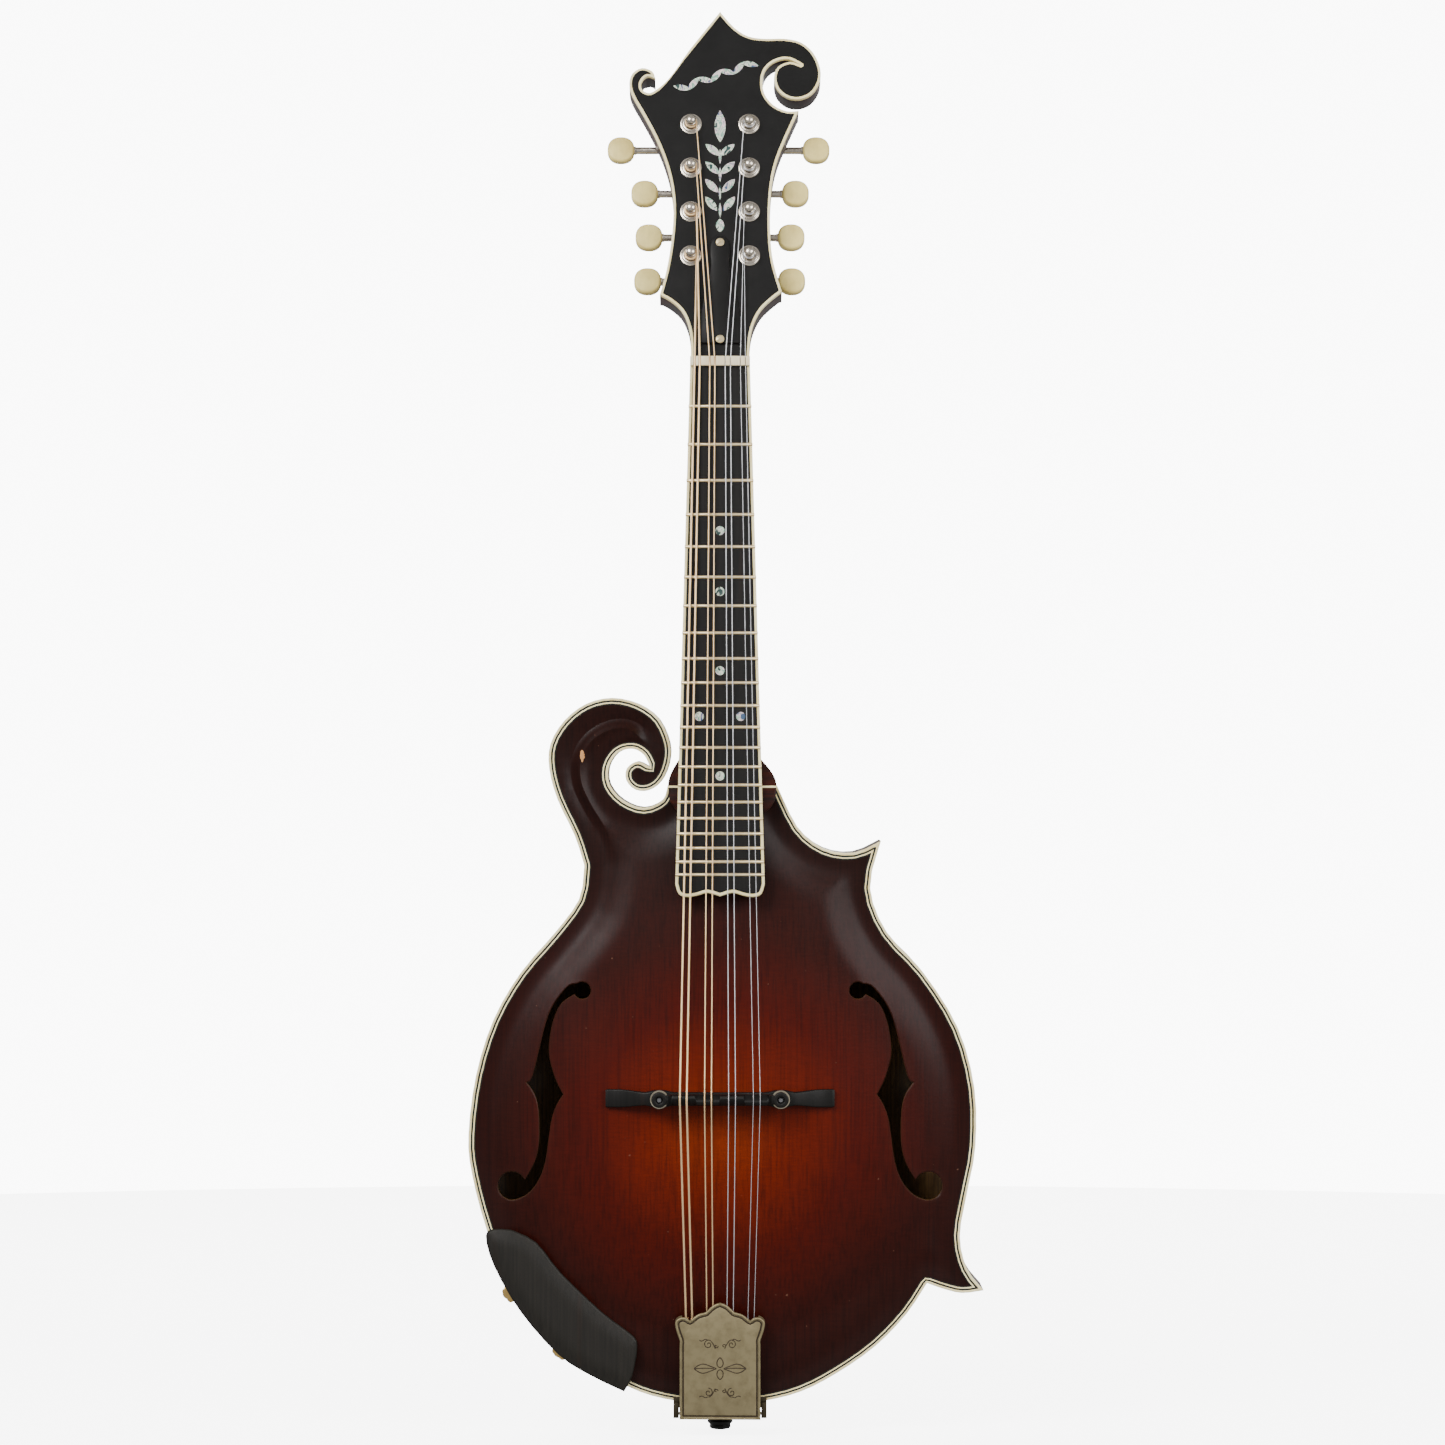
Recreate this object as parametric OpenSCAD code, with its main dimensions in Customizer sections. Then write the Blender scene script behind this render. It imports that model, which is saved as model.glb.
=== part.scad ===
// F-style mandolin, built as the separate pieces a maker would glue, screw and string together.
// The modules work in a bench frame: X across, Y along the neck towards the head, Z out of the face.
// stand() turns that frame upright, so the finished part has +Z along the neck and its face towards -Y.
// The origin is in the middle of the end pin's head, on its axis.

/* [Body] */
// Height of the bent rim between the two plates
rim_h = 34; // [30:0.5:38]
// Thickness of the rim wood
rim_t = 2.2; // [1.8:0.1:2.6]
// Thickness of each plate along its edge
plate_edge_t = 5; // [4:0.5:6]
// Thickness of the arched part of each plate
plate_t = 4; // [3:0.25:4.5]
// Rise of the top's arch above its edge
top_arch = 12; // [11:0.25:12.5]
// Rise of the back's arch above its edge
back_arch = 10; // [8:0.5:12]
// Radius of the arched area in plan
arch_span = 117; // [112:1:118]
// Distance from the tail to the middle of the arch
arch_y = 150; // [148:1:152]
// Width of the binding on the body's edges
binding_w = 1.5; // [1.2:0.1:1.8]
// Width of the flat glued band inside a plate's edge
glue_w = 9.5; // [8:0.5:11]
// Width of the lining strips
lining_w = 4.5; // [3.5:0.5:5]
// Height of the lining strips
lining_h = 8; // [6:0.5:9]

/* [Neck] */
// Scale length
scale_length = 352.4; // [351:0.1:353]
// Distance from the tail to the front of the nut
nut_y = 504.5; // [504:0.1:505]
// Height of the fretboard's surface at the nut, from the middle of the rim
nut_z = 19; // [18.8:0.1:19.2]
// Angle of the neck, leaning back from the body
neck_angle = 4.8; // [4.7:0.1:4.9]
// Angle of the headstock, leaning back from the neck
head_pitch = 12.7; // [12:0.1:13]
// Thickness of the fretboard
board_t = 5; // [4.5:0.1:5.2]
// Half width of the fretboard at the nut
nut_half_w = 14.6; // [14.2:0.1:15]
// Half width of the fretboard at its end
board_half_w = 21.6; // [21:0.1:22]
// Length of the fretboard
board_len = 258; // [256:0.5:260]
// Number of frets
fret_count = 21; // [19:1:21]
// Thickness of the headstock's maple core
head_t = 12.5; // [12:0.1:13]
// Thickness of the black headplate
headplate_t = 2.2; // [2:0.1:2.4]
// Width of the headstock's edge binding
head_binding_w = 1.3; // [1:0.1:1.6]

/* [Tuners] */
// Distance of the posts from the centre line
post_x = 14.3; // [14:0.1:14.6]
// Distance of the lowest pair of posts from the nut
post_first = 52.5; // [51:0.5:54]
// Spacing of the posts
post_pitch = 23.2; // [23:0.1:23.4]
// Radius of a gear over its teeth
gear_r = 3.8; // [3.6:0.1:3.8]
// Radius of a worm over its thread
worm_r = 2.1; // [1.9:0.1:2.1]
// Teeth on a gear
gear_teeth = 14; // [12:1:16]
// Radius of a button
button_r = 6.65; // [6:0.05:7]
// Thickness of a button
button_t = 5.2; // [4.5:0.1:5.6]

/* [Strings] */
// Extra length at the bridge over the scale length
compensation = 2.6; // [2:0.1:3]
// Height of the strings over the fretboard's surface at the nut
nut_lift = 1.2; // [1.1:0.1:1.4]
// Height of the saddle's top, from the middle of the rim
saddle_z = 53; // [52.8:0.1:53.5]

/* [Tailpiece] */
// Half width of the cover
cover_half_w = 19.6; // [19:0.1:19.7]
// Thickness of the cover's metal
cover_t = 1.2; // [0.8:0.1:1.3]
// Slope of the tailpiece over the top
tail_slope = 4; // [3.5:0.1:4.5]

/* [Hidden] */
$fn = 48;
TUNERS = [1 : 8];

// Small overshoot that keeps cuts clean
eps = 0.5;
half_rim = rim_h / 2;
edge_z = half_rim + plate_edge_t;
top_crest = edge_z + top_arch;
bridge_y = nut_y - scale_length - compensation;
joint_y = 300.5;
nut_len = 4.6;
heel_start = 314;
curve_steps = 3;

// Outline of the body, in runs between its corners
tail_run = [[0, 0], [20, 1.6], [39, 6.3], [57, 15.5], [75.5, 28.5], [90.5, 44], [100.5, 59]];
low_point_run = [[100.5, 59], [108.5, 56.2], [117.5, 54.2], [128, 55.5]];
treble_run = [
    [128, 55.5], [120, 66], [116.5, 82], [120, 103], [124, 125], [123.5, 154],
    [115.5, 183], [99, 209.5], [81, 229.5], [73, 251], [78.2, 273.7]
];
high_point_run = [[78.2, 273.7], [65, 268], [50.5, 270], [38, 280], [27.8, joint_y]];
slot_run = [
    [-25.5, joint_y], [-28, 293.5], [-37, 289.8], [-47, 293.5], [-53.5, 301],
    [-54, 309.5], [-49.5, 316.5], [-42.5, 318.4], [-37, 315.5], [-34, 309.5]
];
scroll_run = [
    [-34, 309.5], [-40, 312.3], [-45.3, 309], [-45.5, 303], [-41, 298.5], [-34.5, 298.3],
    [-28.5, 302.5], [-24.6, 311], [-24.2, 321], [-29.5, 333], [-39.8, 340.5], [-52.5, 343.2],
    [-65, 340.3], [-75.5, 332.3], [-82.3, 321], [-83, 309], [-79, 294], [-70.5, 276], [-66, 262]
];
bass_run = [
    [-66, 262], [-68.5, 245.5], [-81, 228.2], [-97, 209.5], [-110, 187], [-118.5, 160], [-122.2, 131],
    [-120.5, 112], [-113.5, 85.5], [-105, 66], [-92, 47.5], [-75.5, 29.5], [-57, 15.8], [-39, 6.3],
    [-20, 1.6], [0, 0]
];

// Outline of the headstock, from the nut up the treble side and down the bass side
head_runs = [
    [[14.2, -6], [14.2, 0], [14.8, 10], [16.6, 17.5], [20, 24.3], [25, 29.6], [30.2, 33.9]],
    [[30.2, 33.9], [27.7, 42.5], [25.6, 52], [24.6, 64], [24.7, 80], [26.2, 95], [30, 108.5],
     [38.7, 129.4]],
    [[38.7, 129.4], [33, 129.2], [26.5, 132.3], [21.9, 138.5], [21, 146], [23, 152.2], [28, 156.2],
     [34, 157], [40, 153.8]],
    [[40, 153.8], [34.5, 155.6], [28.5, 152.8], [26.6, 147], [28.2, 140.8], [33, 136.5], [39, 135.6],
     [45, 138.2], [49, 144.5], [49.5, 152], [46, 160.5], [40, 166], [32, 168], [22, 168], [14, 169.3],
     [7, 174], [0, 182.5]],
    [[0, 182.5], [-30.5, 141.5]],
    [[-30.5, 141.5], [-34.6, 138.9], [-38.3, 140.5], [-38.8, 144.5], [-36, 147.8], [-31.9, 146.6]],
    [[-31.9, 146.6], [-33.5, 150.5], [-38.5, 152.3], [-43.2, 149.5], [-44.8, 144], [-43.3, 137.5],
     [-38, 127.5], [-32, 115.5], [-27, 102.5], [-23.8, 89], [-22.8, 75], [-24, 59], [-26.3, 44.5],
     [-29.4, 32.2]],
    [[-29.4, 32.2], [-24.5, 29.4], [-19, 24.3], [-15.8, 17.5], [-14.4, 10], [-14.2, 0], [-14.2, -6]]
];

// Treble f-hole: outer and inner edge, top to bottom, between the two round eyes
f_outer = [[68, 204.6], [73, 204], [79, 197.3], [83, 190], [86, 180], [91, 159.8], [94, 156.8]];
f_outer_low = [[94, 156.8], [90, 151], [88, 143], [87.8, 128], [90, 118], [95, 109]];
f_inner_low = [[100, 99.3], [94.2, 101.8], [88.8, 107.8], [84.8, 118], [82, 137], [79.5, 145.3], [76, 151]];
f_inner = [[76, 151], [79.8, 158.7], [82.7, 169], [82.7, 177], [80.8, 187], [77, 195], [70.5, 199.5]];
f_eye_top = [66.8, 201.4];
f_eye_top_r = 4.2;
f_eye_low = [101, 106.3];
f_eye_low_r = 7;

// Armrest outline, outer edge then inner edge
arm_outer = [[-101, 85.2], [-109, 85.6], [-113.6, 82.5], [-109.5, 67.5], [-96.5, 45.2], [-78, 24.4],
    [-62, 14.2], [-46.5, 6.8]];
arm_inner = [[-46.5, 6.8], [-42.5, 14.5], [-40, 29], [-43.5, 35], [-57, 45.2], [-77, 64.2], [-89, 79],
    [-101, 85.2]];
arm_z = 24.6;
arm_t = 4;
barrels = [[-103, 53.2, 215], [-78.3, 24.8, 230]];

// Tailpiece cover outline, treble half, from the middle of its front to its tail end
cover_front = [[0, 51.3], [3.4, 49.9], [7, 46.6]];
cover_shoulder = [[7, 46.6], [10.8, 45.5], [14.6, 42.6]];
cover_horn = [[14.6, 42.6], [16.6, 43.9], [19.2, 44], [21.6, 41.9], [21.3, 38.2], [cover_half_w, 33]];
cover_tail_y = -5.9;
cover_z = [2, 9];
hinge_y = -3.6;
hinge_z = 3.4;
hook_y = 34;
// Middle of the end pin's head, where the finished part has its origin
pin_head_y = -10.35;

// Head frame: height of the worm axes behind the face, and where each row sits
worm_h = -head_t - 4.5;
worm_drop = gear_r + worm_r + 0.1;
post_shaft_r = 2.5;
running_gap = 0.05;
bushing_r = 4.4;
bushing_depth = 6;
worm_shaft_r = 1.5;
winding_r = 2.3;
// Distance of each button from the centre line: bass side from the top, then treble side from the top
button_x = [49, 37.2, 35, 35.6, 47.5, 37.2, 35, 35.2];
truss_pocket = [12, 34];
rod_z = -11.2;
cover_screws = [8.3, 58.9];
plate_screws = [post_first - 9.6, post_first + 1.5 * post_pitch + 0.5, post_first + 3 * post_pitch + 7.5];

// Strings: radii of the four courses from bass to treble, then distances from the centre line
string_r = [0.51, 0.33, 0.2, 0.14];
pair_nut = [-11.1, -3.75, 3.75, 11.1];
pair_bridge = [-17.7, -5.8, 5.8, 17.7];
pair_tail = [-14.8, -4.8, 4.8, 14.8];
half_gap = [1.25, 1.65, 1.5];
// Ball that joins two straight stretches of a string, in string radii
bend_ball = 1.12;
stud_x = 29.3;
stud_r = 1.5;
base_top = 41;
wheel_z = [42.6, 45];
saddle_low = 45.3;
// Saddle seen from its end: peaked under the strings, steeper towards the tail
saddle_side = [[-3.2, saddle_low], [3.2, saddle_low], [3.2, saddle_z - 0.7], [0.3, saddle_z],
    [-0.3, saddle_z], [-3.2, saddle_z - 1.3]];

// ---- functions ----

function side(i) = i <= 4 ? -1 : 1;
function row(i) = (i - 1) % 4;
function post_y(i) = post_first + post_pitch * (3 - row(i));
function worm_y(i) = post_y(i) - worm_drop;
function fret_y(n) = -scale_length * (1 - pow(2, -n / 12));
function board_half(y) = nut_half_w - (board_half_w - nut_half_w) * y / board_len;
function cap_radius(rise) = (arch_span * arch_span + rise * rise) / (2 * rise);
function flip(p) = [for (i = [len(p) - 1 : -1 : 0]) [-p[i].x, p[i].y]];

// Catmull-Rom curve through the points of one run, without its last point
function curve(p, n = curve_steps) = [
    for (i = [0 : len(p) - 2])
        let (a = p[max(i - 1, 0)], b = p[i], c = p[i + 1], d = p[min(i + 2, len(p) - 1)])
            for (k = [0 : n - 1])
                let (t = k / n)
                    0.5 * (2 * b + (c - a) * t + (2 * a - 5 * b + 4 * c - d) * t * t
                        + (3 * b - a - 3 * c + d) * t * t * t)
];

function body_points() = concat(
    curve(tail_run), curve(low_point_run), curve(treble_run), curve(high_point_run),
    [[27.8, joint_y]], curve(slot_run), curve(scroll_run), curve(bass_run)
);
function head_points() = concat([for (r = head_runs) each len(r) > 2 ? curve(r) : [r[0]]], [[-14.2, -6]]);
function f_points() = concat(
    curve(f_outer), curve(f_outer_low), [[95, 109], f_eye_low], curve(f_inner_low), curve(f_inner),
    [[70.5, 199.5], f_eye_top]
);

// Points of the neck and head frames, given in the bench frame
function neck_pt(p) = [
    p.x,
    nut_y + p.y * cos(neck_angle) + p.z * sin(neck_angle),
    nut_z - p.y * sin(neck_angle) + p.z * cos(neck_angle)
];
function head_pt(p) = neck_pt([
    p.x,
    nut_len + p.y * cos(head_pitch) + p.z * sin(head_pitch),
    -board_t - p.y * sin(head_pitch) + p.z * cos(head_pitch)
]);
function tail_pt(p) = [
    p.x, p.y * cos(tail_slope) - p.z * sin(tail_slope),
    edge_z + p.y * sin(tail_slope) + p.z * cos(tail_slope)
];

// String k runs 0 to 7, bass to treble; one entry per place of the wanted spread
function string_x(k, pairs, gap) = pairs[floor(k / 2)] + (k % 2 == 0 ? -gap : gap);
function string_radius(k) = string_r[floor(k / 2)];
function string_post(k) = k < 4 ? 4 - k : k + 1;

// ---- frames and small helpers ----

module stand() { translate([0, 0, -pin_head_y]) rotate([90, 0, 0]) children(); }
module on_neck() { translate([0, nut_y, nut_z]) rotate([-neck_angle, 0, 0]) children(); }
module on_head() { on_neck() translate([0, nut_len, -board_t]) rotate([-head_pitch, 0, 0]) children(); }
module on_tail() { translate([0, 0, edge_z]) rotate([tail_slope, 0, 0]) children(); }

// Solid between two heights
module slab(low, high) { translate([0, 0, low]) linear_extrude(high - low) children(); }

// Box between two corners
module block(low, high) { translate(low) cube(high - low); }

// Round rod between two points
module wire(a, b, r) {
    d = b - a;
    translate(a) rotate([0, acos(d.z / norm(d)), atan2(d.y, d.x)]) cylinder(h = norm(d), r = r);
}

module body_shape(inset = 0) {
    if (inset > 0) offset(r = -inset, $fn = 24) polygon(body_points());
    else polygon(body_points());
}

module head_shape(inset = 0) {
    intersection() {
        if (inset > 0) offset(r = -inset, $fn = 24) polygon(head_points());
        else polygon(head_points());
        translate([-60, 0]) square([120, 200]);
    }
}

module board_shape(inset = 0) {
    tip = board_half_w;
    end = [[tip, -board_len + 6], [tip - 1.6, -board_len + 1.2], [tip - 5.5, -board_len - 0.3],
        [11, -board_len + 0.4], [6, -board_len + 1.7], [0, -board_len]];
    start_w = board_half(6);
    half = curve(end);
    shape = concat([[-start_w, 6], [start_w, 6]], half, [[0, -board_len]], flip(half));
    intersection() {
        if (inset > 0) offset(r = -inset, $fn = 24) polygon(shape);
        else polygon(shape);
        translate([-50, -300]) square([100, 300]);
    }
}

module arch_ball(rise, drop = 0) {
    radius = cap_radius(rise);
    translate([0, arch_y, edge_z + rise - radius]) sphere(r = radius - drop, $fn = 200);
}

// ---- body ----

module arched_plate(rise) {
    difference() {
        union() {
            slab(half_rim, edge_z) body_shape(binding_w);
            intersection() {
                slab(edge_z - eps, edge_z + rise + eps) body_shape(binding_w);
                arch_ball(rise);
            }
        }
        intersection() {
            slab(half_rim - eps, edge_z + rise) body_shape(binding_w + glue_w);
            arch_ball(rise, plate_t);
        }
    }
}

module f_hole() {
    slab(half_rim - eps, top_crest) union() {
        polygon(f_points());
        translate(f_eye_top) circle(r = f_eye_top_r);
        translate(f_eye_low) circle(r = f_eye_low_r);
    }
}

module top_plate() {
    color("saddlebrown") stand() difference() {
        arched_plate(top_arch);
        f_hole();
        mirror([1, 0, 0]) f_hole();
    }
}

module back_plate() { color("sienna") stand() mirror([0, 0, 1]) arched_plate(back_arch); }

module tenon_shape() { polygon([[-9, joint_y], [9, joint_y], [12, 284], [-12, 284]]); }

module end_pin_hole() { translate([0, -2, 0]) rotate([-90, 0, 0]) cylinder(h = 18, r = 2.8); }

module rim() {
    color("maroon") stand() difference() {
        slab(-half_rim, half_rim) difference() {
            body_shape();
            body_shape(rim_t);
            tenon_shape();
            translate([-9, joint_y - 1]) square([18, 2]);
        }
        end_pin_hole();
    }
}

module body_binding() {
    color("ivory") stand() for (m = [0, 1]) mirror([0, 0, m])
        slab(half_rim, edge_z) difference() {
            body_shape();
            body_shape(binding_w);
        }
}

// Part of the body's plan that the neck and scroll block fills
module head_block_area() {
    polygon([[-90, 264], [-52, 264], [-30, 274], [34, 274], [34, 350], [-90, 350]]);
}

module corner_block_area() {
    translate([-24, 0]) square([48, 20]);
    translate([123, 60]) circle(r = 16);
    translate([76, 270]) circle(r = 13);
}

module head_block() {
    color("peru") stand() slab(-half_rim, half_rim) difference() {
        intersection() {
            body_shape(rim_t);
            head_block_area();
        }
        tenon_shape();
    }
}

module rim_blocks() {
    color("peru") stand() difference() {
        slab(-half_rim, half_rim) intersection() {
            body_shape(rim_t);
            corner_block_area();
        }
        end_pin_hole();
    }
}

module linings() {
    color("burlywood") stand() for (m = [0, 1]) mirror([0, 0, m])
        slab(half_rim - lining_h, half_rim) difference() {
            body_shape(rim_t);
            body_shape(rim_t + lining_w);
            head_block_area();
            corner_block_area();
        }
}

module tone_bars() {
    color("wheat") stand() intersection() {
        for (s = [-1, 1]) translate([s * 24, arch_y, 0]) rotate([0, 0, -2 * s])
            block([-2.5, -88, 20], [2.5, 86, top_crest]);
        arch_ball(top_arch, plate_t);
    }
}

module fretboard_support() {
    treble = [[27.4, joint_y], [26.6, 294], [23.5, 289], [18, 287], [0, 286.5]];
    bass = [[-16, 287], [-21.5, 289], [-24.5, 294], [-25.2, joint_y]];
    color("saddlebrown") stand() difference() {
        slab(edge_z, edge_z + 14) polygon(concat(curve(treble), bass));
        on_neck() block([-40, -300, -board_t], [40, 10, 20]);
    }
}

// ---- neck ----

// Thin slice across the neck, flat on top and half oval below
module neck_slice(y, half_w, depth) {
    translate([0, y, 0]) rotate([90, 0, 0]) linear_extrude(0.4)
        polygon([for (a = [180 : 12 : 360]) [half_w * cos(a), -board_t + depth * sin(a)]]);
}

module heel_face() {
    translate([0, joint_y + 0.4, 0]) rotate([90, 0, 0]) linear_extrude(0.4)
        polygon([[-25.2, 31], [27.4, 31], [26, 20], [20, 4], [11, -16], [7, -21], [-7, -21], [-11, -16],
            [-19, 4], [-24.5, 20]]);
}

module post_holes() {
    for (i = TUNERS) translate([side(i) * post_x, post_y(i), 0]) {
        translate([0, 0, -bushing_depth]) cylinder(h = bushing_depth + 5, r = bushing_r);
        translate([0, 0, -head_t - eps]) cylinder(h = head_t, r = 3);
    }
}

module truss_hole() {
    block([-4.5, truss_pocket[0], -8], [4.5, truss_pocket[1], 5]);
}

module neck() {
    heel_y = -(nut_y - heel_start) / cos(neck_angle);
    color("maroon") stand() difference() {
        union() {
            hull() {
                on_neck() neck_slice(nut_len, 14.3, 12.5);
                on_neck() neck_slice(heel_y, 20, 16);
            }
            hull() {
                on_neck() neck_slice(heel_y, 20, 16);
                heel_face();
            }
            on_head() slab(-head_t, 0) head_shape();
            slab(-half_rim, half_rim) tenon_shape();
        }
        on_head() post_holes();
        on_head() truss_hole();
        on_head() screw_shanks();
        on_neck() block([-3, -190, rod_z - 3], [3, nut_len, -board_t + eps]);
        on_neck() translate([0, nut_len - 1, rod_z]) rotate([-90, 0, 0]) cylinder(h = 13, r = 3);
        on_neck() block([-40, -300, -board_t], [40, nut_len, 10]);
    }
}

module truss_rod() {
    color("gray") stand() on_neck() translate([0, 0, rod_z]) rotate([-90, 0, 0]) {
        translate([0, 0, -188]) cylinder(h = 198, r = 2.4);
        translate([0, 0, 9.8]) cylinder(h = 8, r = 2.8);
    }
}

module fretboard() {
    color("black") stand() on_neck() difference() {
        slab(-board_t, 0) board_shape(binding_w);
        marker_dots();
    }
}

module fretboard_binding() {
    color("ivory") stand() on_neck() slab(-board_t, 0) difference() {
        board_shape();
        board_shape(binding_w);
    }
}

module marker_dots() {
    for (n = [5, 7, 10, 15]) translate([0, (fret_y(n) + fret_y(n - 1)) / 2, -1]) cylinder(h = 1, r = 2.2);
    for (s = [-1, 1]) translate([s * 10, (fret_y(12) + fret_y(11)) / 2, -1]) cylinder(h = 1, r = 2.2);
}

module fret_markers() { color("lightcyan") stand() on_neck() marker_dots(); }

module frets() {
    fret_r = 1.15;
    color("silver") stand() on_neck() for (n = [1 : fret_count]) {
        half = board_half(fret_y(n)) + 0.25;
        translate([-half, fret_y(n), 0]) rotate([90, 0, 90]) linear_extrude(2 * half) intersection() {
            circle(r = fret_r);
            translate([-2, 0]) square([4, 1]);
        }
    }
}

module nut() {
    color("ivory") stand() on_neck() difference() {
        block([-nut_half_w, 0, -board_t], [nut_half_w, nut_len, 2.3]);
        for (k = [0 : 7]) translate([string_x(k, pair_nut, half_gap[0]), 0, 0])
            block([-string_radius(k) - 0.06, -1, nut_lift - 0.35], [string_radius(k) + 0.06, 6, 4]);
    }
}

// ---- headstock ----

// Pointed leaf lying along Y
module leaf(length, width) {
    r = (length * length + width * width) / (4 * width);
    intersection() {
        translate([r - width / 2, 0]) circle(r = r);
        translate([width / 2 - r, 0]) circle(r = r);
    }
}

module inlay_shape() {
    for (s = [-1, 1], j = [0 : 3])
        translate([s * (4.4 - 0.3 * j), 80 + 9.5 * j]) rotate(-s * (38 + 4 * j)) leaf(9.5, 3.6);
    for (j = [0 : 3]) translate([0, 76.5 + 9.5 * j]) leaf(8, 1.3);
    translate([0, 121]) leaf(17, 5.4);
    translate([0, 68.5]) leaf(7, 4);
    for (j = [-3 : 3]) translate([j * 5.6 - 2, 148 + 2.1 * j])
        rotate(-70 + (j % 2 == 0 ? 32 : -32)) leaf(8.6, 3);
}

module headstock_inlay() {
    color("lightcyan") stand() on_head() slab(headplate_t - 0.8, headplate_t) inlay_shape();
}

module headplate() {
    color("black") stand() on_head() difference() {
        slab(0, headplate_t) head_shape(head_binding_w);
        post_holes();
        truss_hole();
        screw_shanks();
        slab(headplate_t - 0.8, headplate_t + eps) inlay_shape();
    }
}

module headstock_binding() {
    color("ivory") stand() on_head() slab(0, headplate_t) difference() {
        head_shape();
        head_shape(head_binding_w);
    }
}

module truss_rod_cover() {
    half = [[10.6, 6.4], [10.2, 17], [8.4, 28], [5.9, 38], [4.6, 48], [5, 54], [4, 60.5], [0, 63.5]];
    color("black") stand() on_head() difference() {
        slab(headplate_t, headplate_t + 1.5)
            polygon(concat(curve(half), flip(curve(half)), [[-10.6, 6.4]]));
        for (y = cover_screws) translate([0, y, 0]) cylinder(h = 6, r = 1);
    }
}

// Shanks of the headstock's screws: two for the cover, three for each tuner plate
module screw_shanks() {
    for (y = cover_screws) translate([0, y, -1.2]) cylinder(h = 6.2, r = 1);
    for (s = [-1, 1], y = plate_screws) translate([s * post_x, y, -head_t - 2]) cylinder(h = 6, r = 0.9);
}

module screws() {
    color("goldenrod") stand() {
        on_head() {
            for (y = cover_screws) difference() {
                union() {
                    translate([0, y, -1.2]) cylinder(h = 5, r = 1);
                    translate([0, y, headplate_t + 1.5]) cylinder(h = 0.9, r = 2.1);
                }
                translate([0, y, headplate_t + 2.2]) rotate(40) cube([6, 0.6, 1], center = true);
            }
            for (s = [-1, 1], y = plate_screws) translate([s * post_x, y, 0]) {
                translate([0, 0, -head_t - 1]) cylinder(h = 5, r = 0.9);
                translate([0, 0, -head_t - 2]) cylinder(h = 1, r = 1.9);
            }
        }
        for (s = [-1, 1]) translate([s * 9, -1.2, 9]) rotate([90, 0, 0]) cylinder(h = 1.2, r = 2.2);
    }
}

// ---- tuners ----

module tuner_plates() {
    lug = 1.2;
    color("tan") stand() on_head() for (s = [-1, 1]) difference() {
        union() {
            block([min(s * 8.6, s * 20.4), post_first - 13, -head_t - 1],
                [max(s * 8.6, s * 20.4), post_first + 3 * post_pitch + 11, -head_t]);
            for (j = [0 : 3], x = [9, 18.4])
                let (a = s * x, b = s * (x + lug), y = post_first + j * post_pitch - worm_drop)
                    block([min(a, b), y - 2.6, worm_h - 2.6], [max(a, b), y + 2.6, -head_t - eps]);
        }
        for (j = [0 : 3]) translate([s * post_x, post_first + j * post_pitch, -head_t - 2])
            cylinder(h = 3, r = 3.2);
        for (y = plate_screws) translate([s * post_x, y, -head_t - 2]) cylinder(h = 3, r = 0.9);
        for (j = [0 : 3]) translate([s * 8, post_first + j * post_pitch - worm_drop, worm_h])
            rotate([0, s * 90, 0]) cylinder(h = 14, r = worm_shaft_r + running_gap);
    }
}

module tuner_bushings() {
    color("silver") stand() on_head() for (i = TUNERS) translate([side(i) * post_x, post_y(i), 0])
        rotate_extrude() polygon([
            [post_shaft_r + running_gap, -bushing_depth], [bushing_r, -bushing_depth],
            [bushing_r, headplate_t], [5.4, headplate_t], [5.4, headplate_t + 0.6],
            [4.2, headplate_t + 1.3], [post_shaft_r + running_gap, headplate_t + 1.3]
        ]);
}

// Turned post with its gear, the string's winding round its waist
module tuner_post(i) {
    root_r = gear_r - 0.8;
    step = 360 / gear_teeth;
    waist = headplate_t + 1.6;
    color("silver") stand() on_head() translate([side(i) * post_x, post_y(i), 0]) {
        rotate_extrude() polygon([
            [0, worm_h - 2], [post_shaft_r, worm_h - 2], [post_shaft_r, waist], [winding_r, waist],
            [winding_r, 6.2], [1.6, 6.4], [1.6, 7], [2.3, 7.4], [2.5, 8.4], [2.1, 9.5], [1.1, 10.1],
            [0, 10.2]
        ]);
        slab(worm_h - 1.6, worm_h + 1.6) difference() {
            polygon([for (k = [0 : gear_teeth - 1], c = [[-0.32, 0], [-0.16, 1], [0.16, 1], [0.32, 0]])
                let (a = step * (k + c[0]), r = root_r + c[1] * (gear_r - root_r))
                    [r * cos(a), r * sin(a)]]);
            circle(r = post_shaft_r);
        }
    }
}

module tuner_worm(i) {
    reach = button_x[i - 1];
    near = post_x - gear_r;
    far = post_x + gear_r;
    color("silver") stand() on_head() translate([0, worm_y(i), worm_h]) rotate([0, side(i) * 90, 0])
        rotate_extrude() polygon(concat(
            [[0, 8.4], [worm_shaft_r, 8.4], [worm_shaft_r, near]],
            [for (k = [0 : 3], c = [[1.6, 0.1], [worm_r, 0.6], [worm_r, 1], [1.6, 1.6]])
                [c[0], near + k * 1.9 + c[1]]],
            [[worm_shaft_r, far], [worm_shaft_r, reach - button_r - 0.4],
             [1.2, reach - button_r - 0.4], [1.2, reach + 1], [0, reach + 1]]
        ));
}

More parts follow.
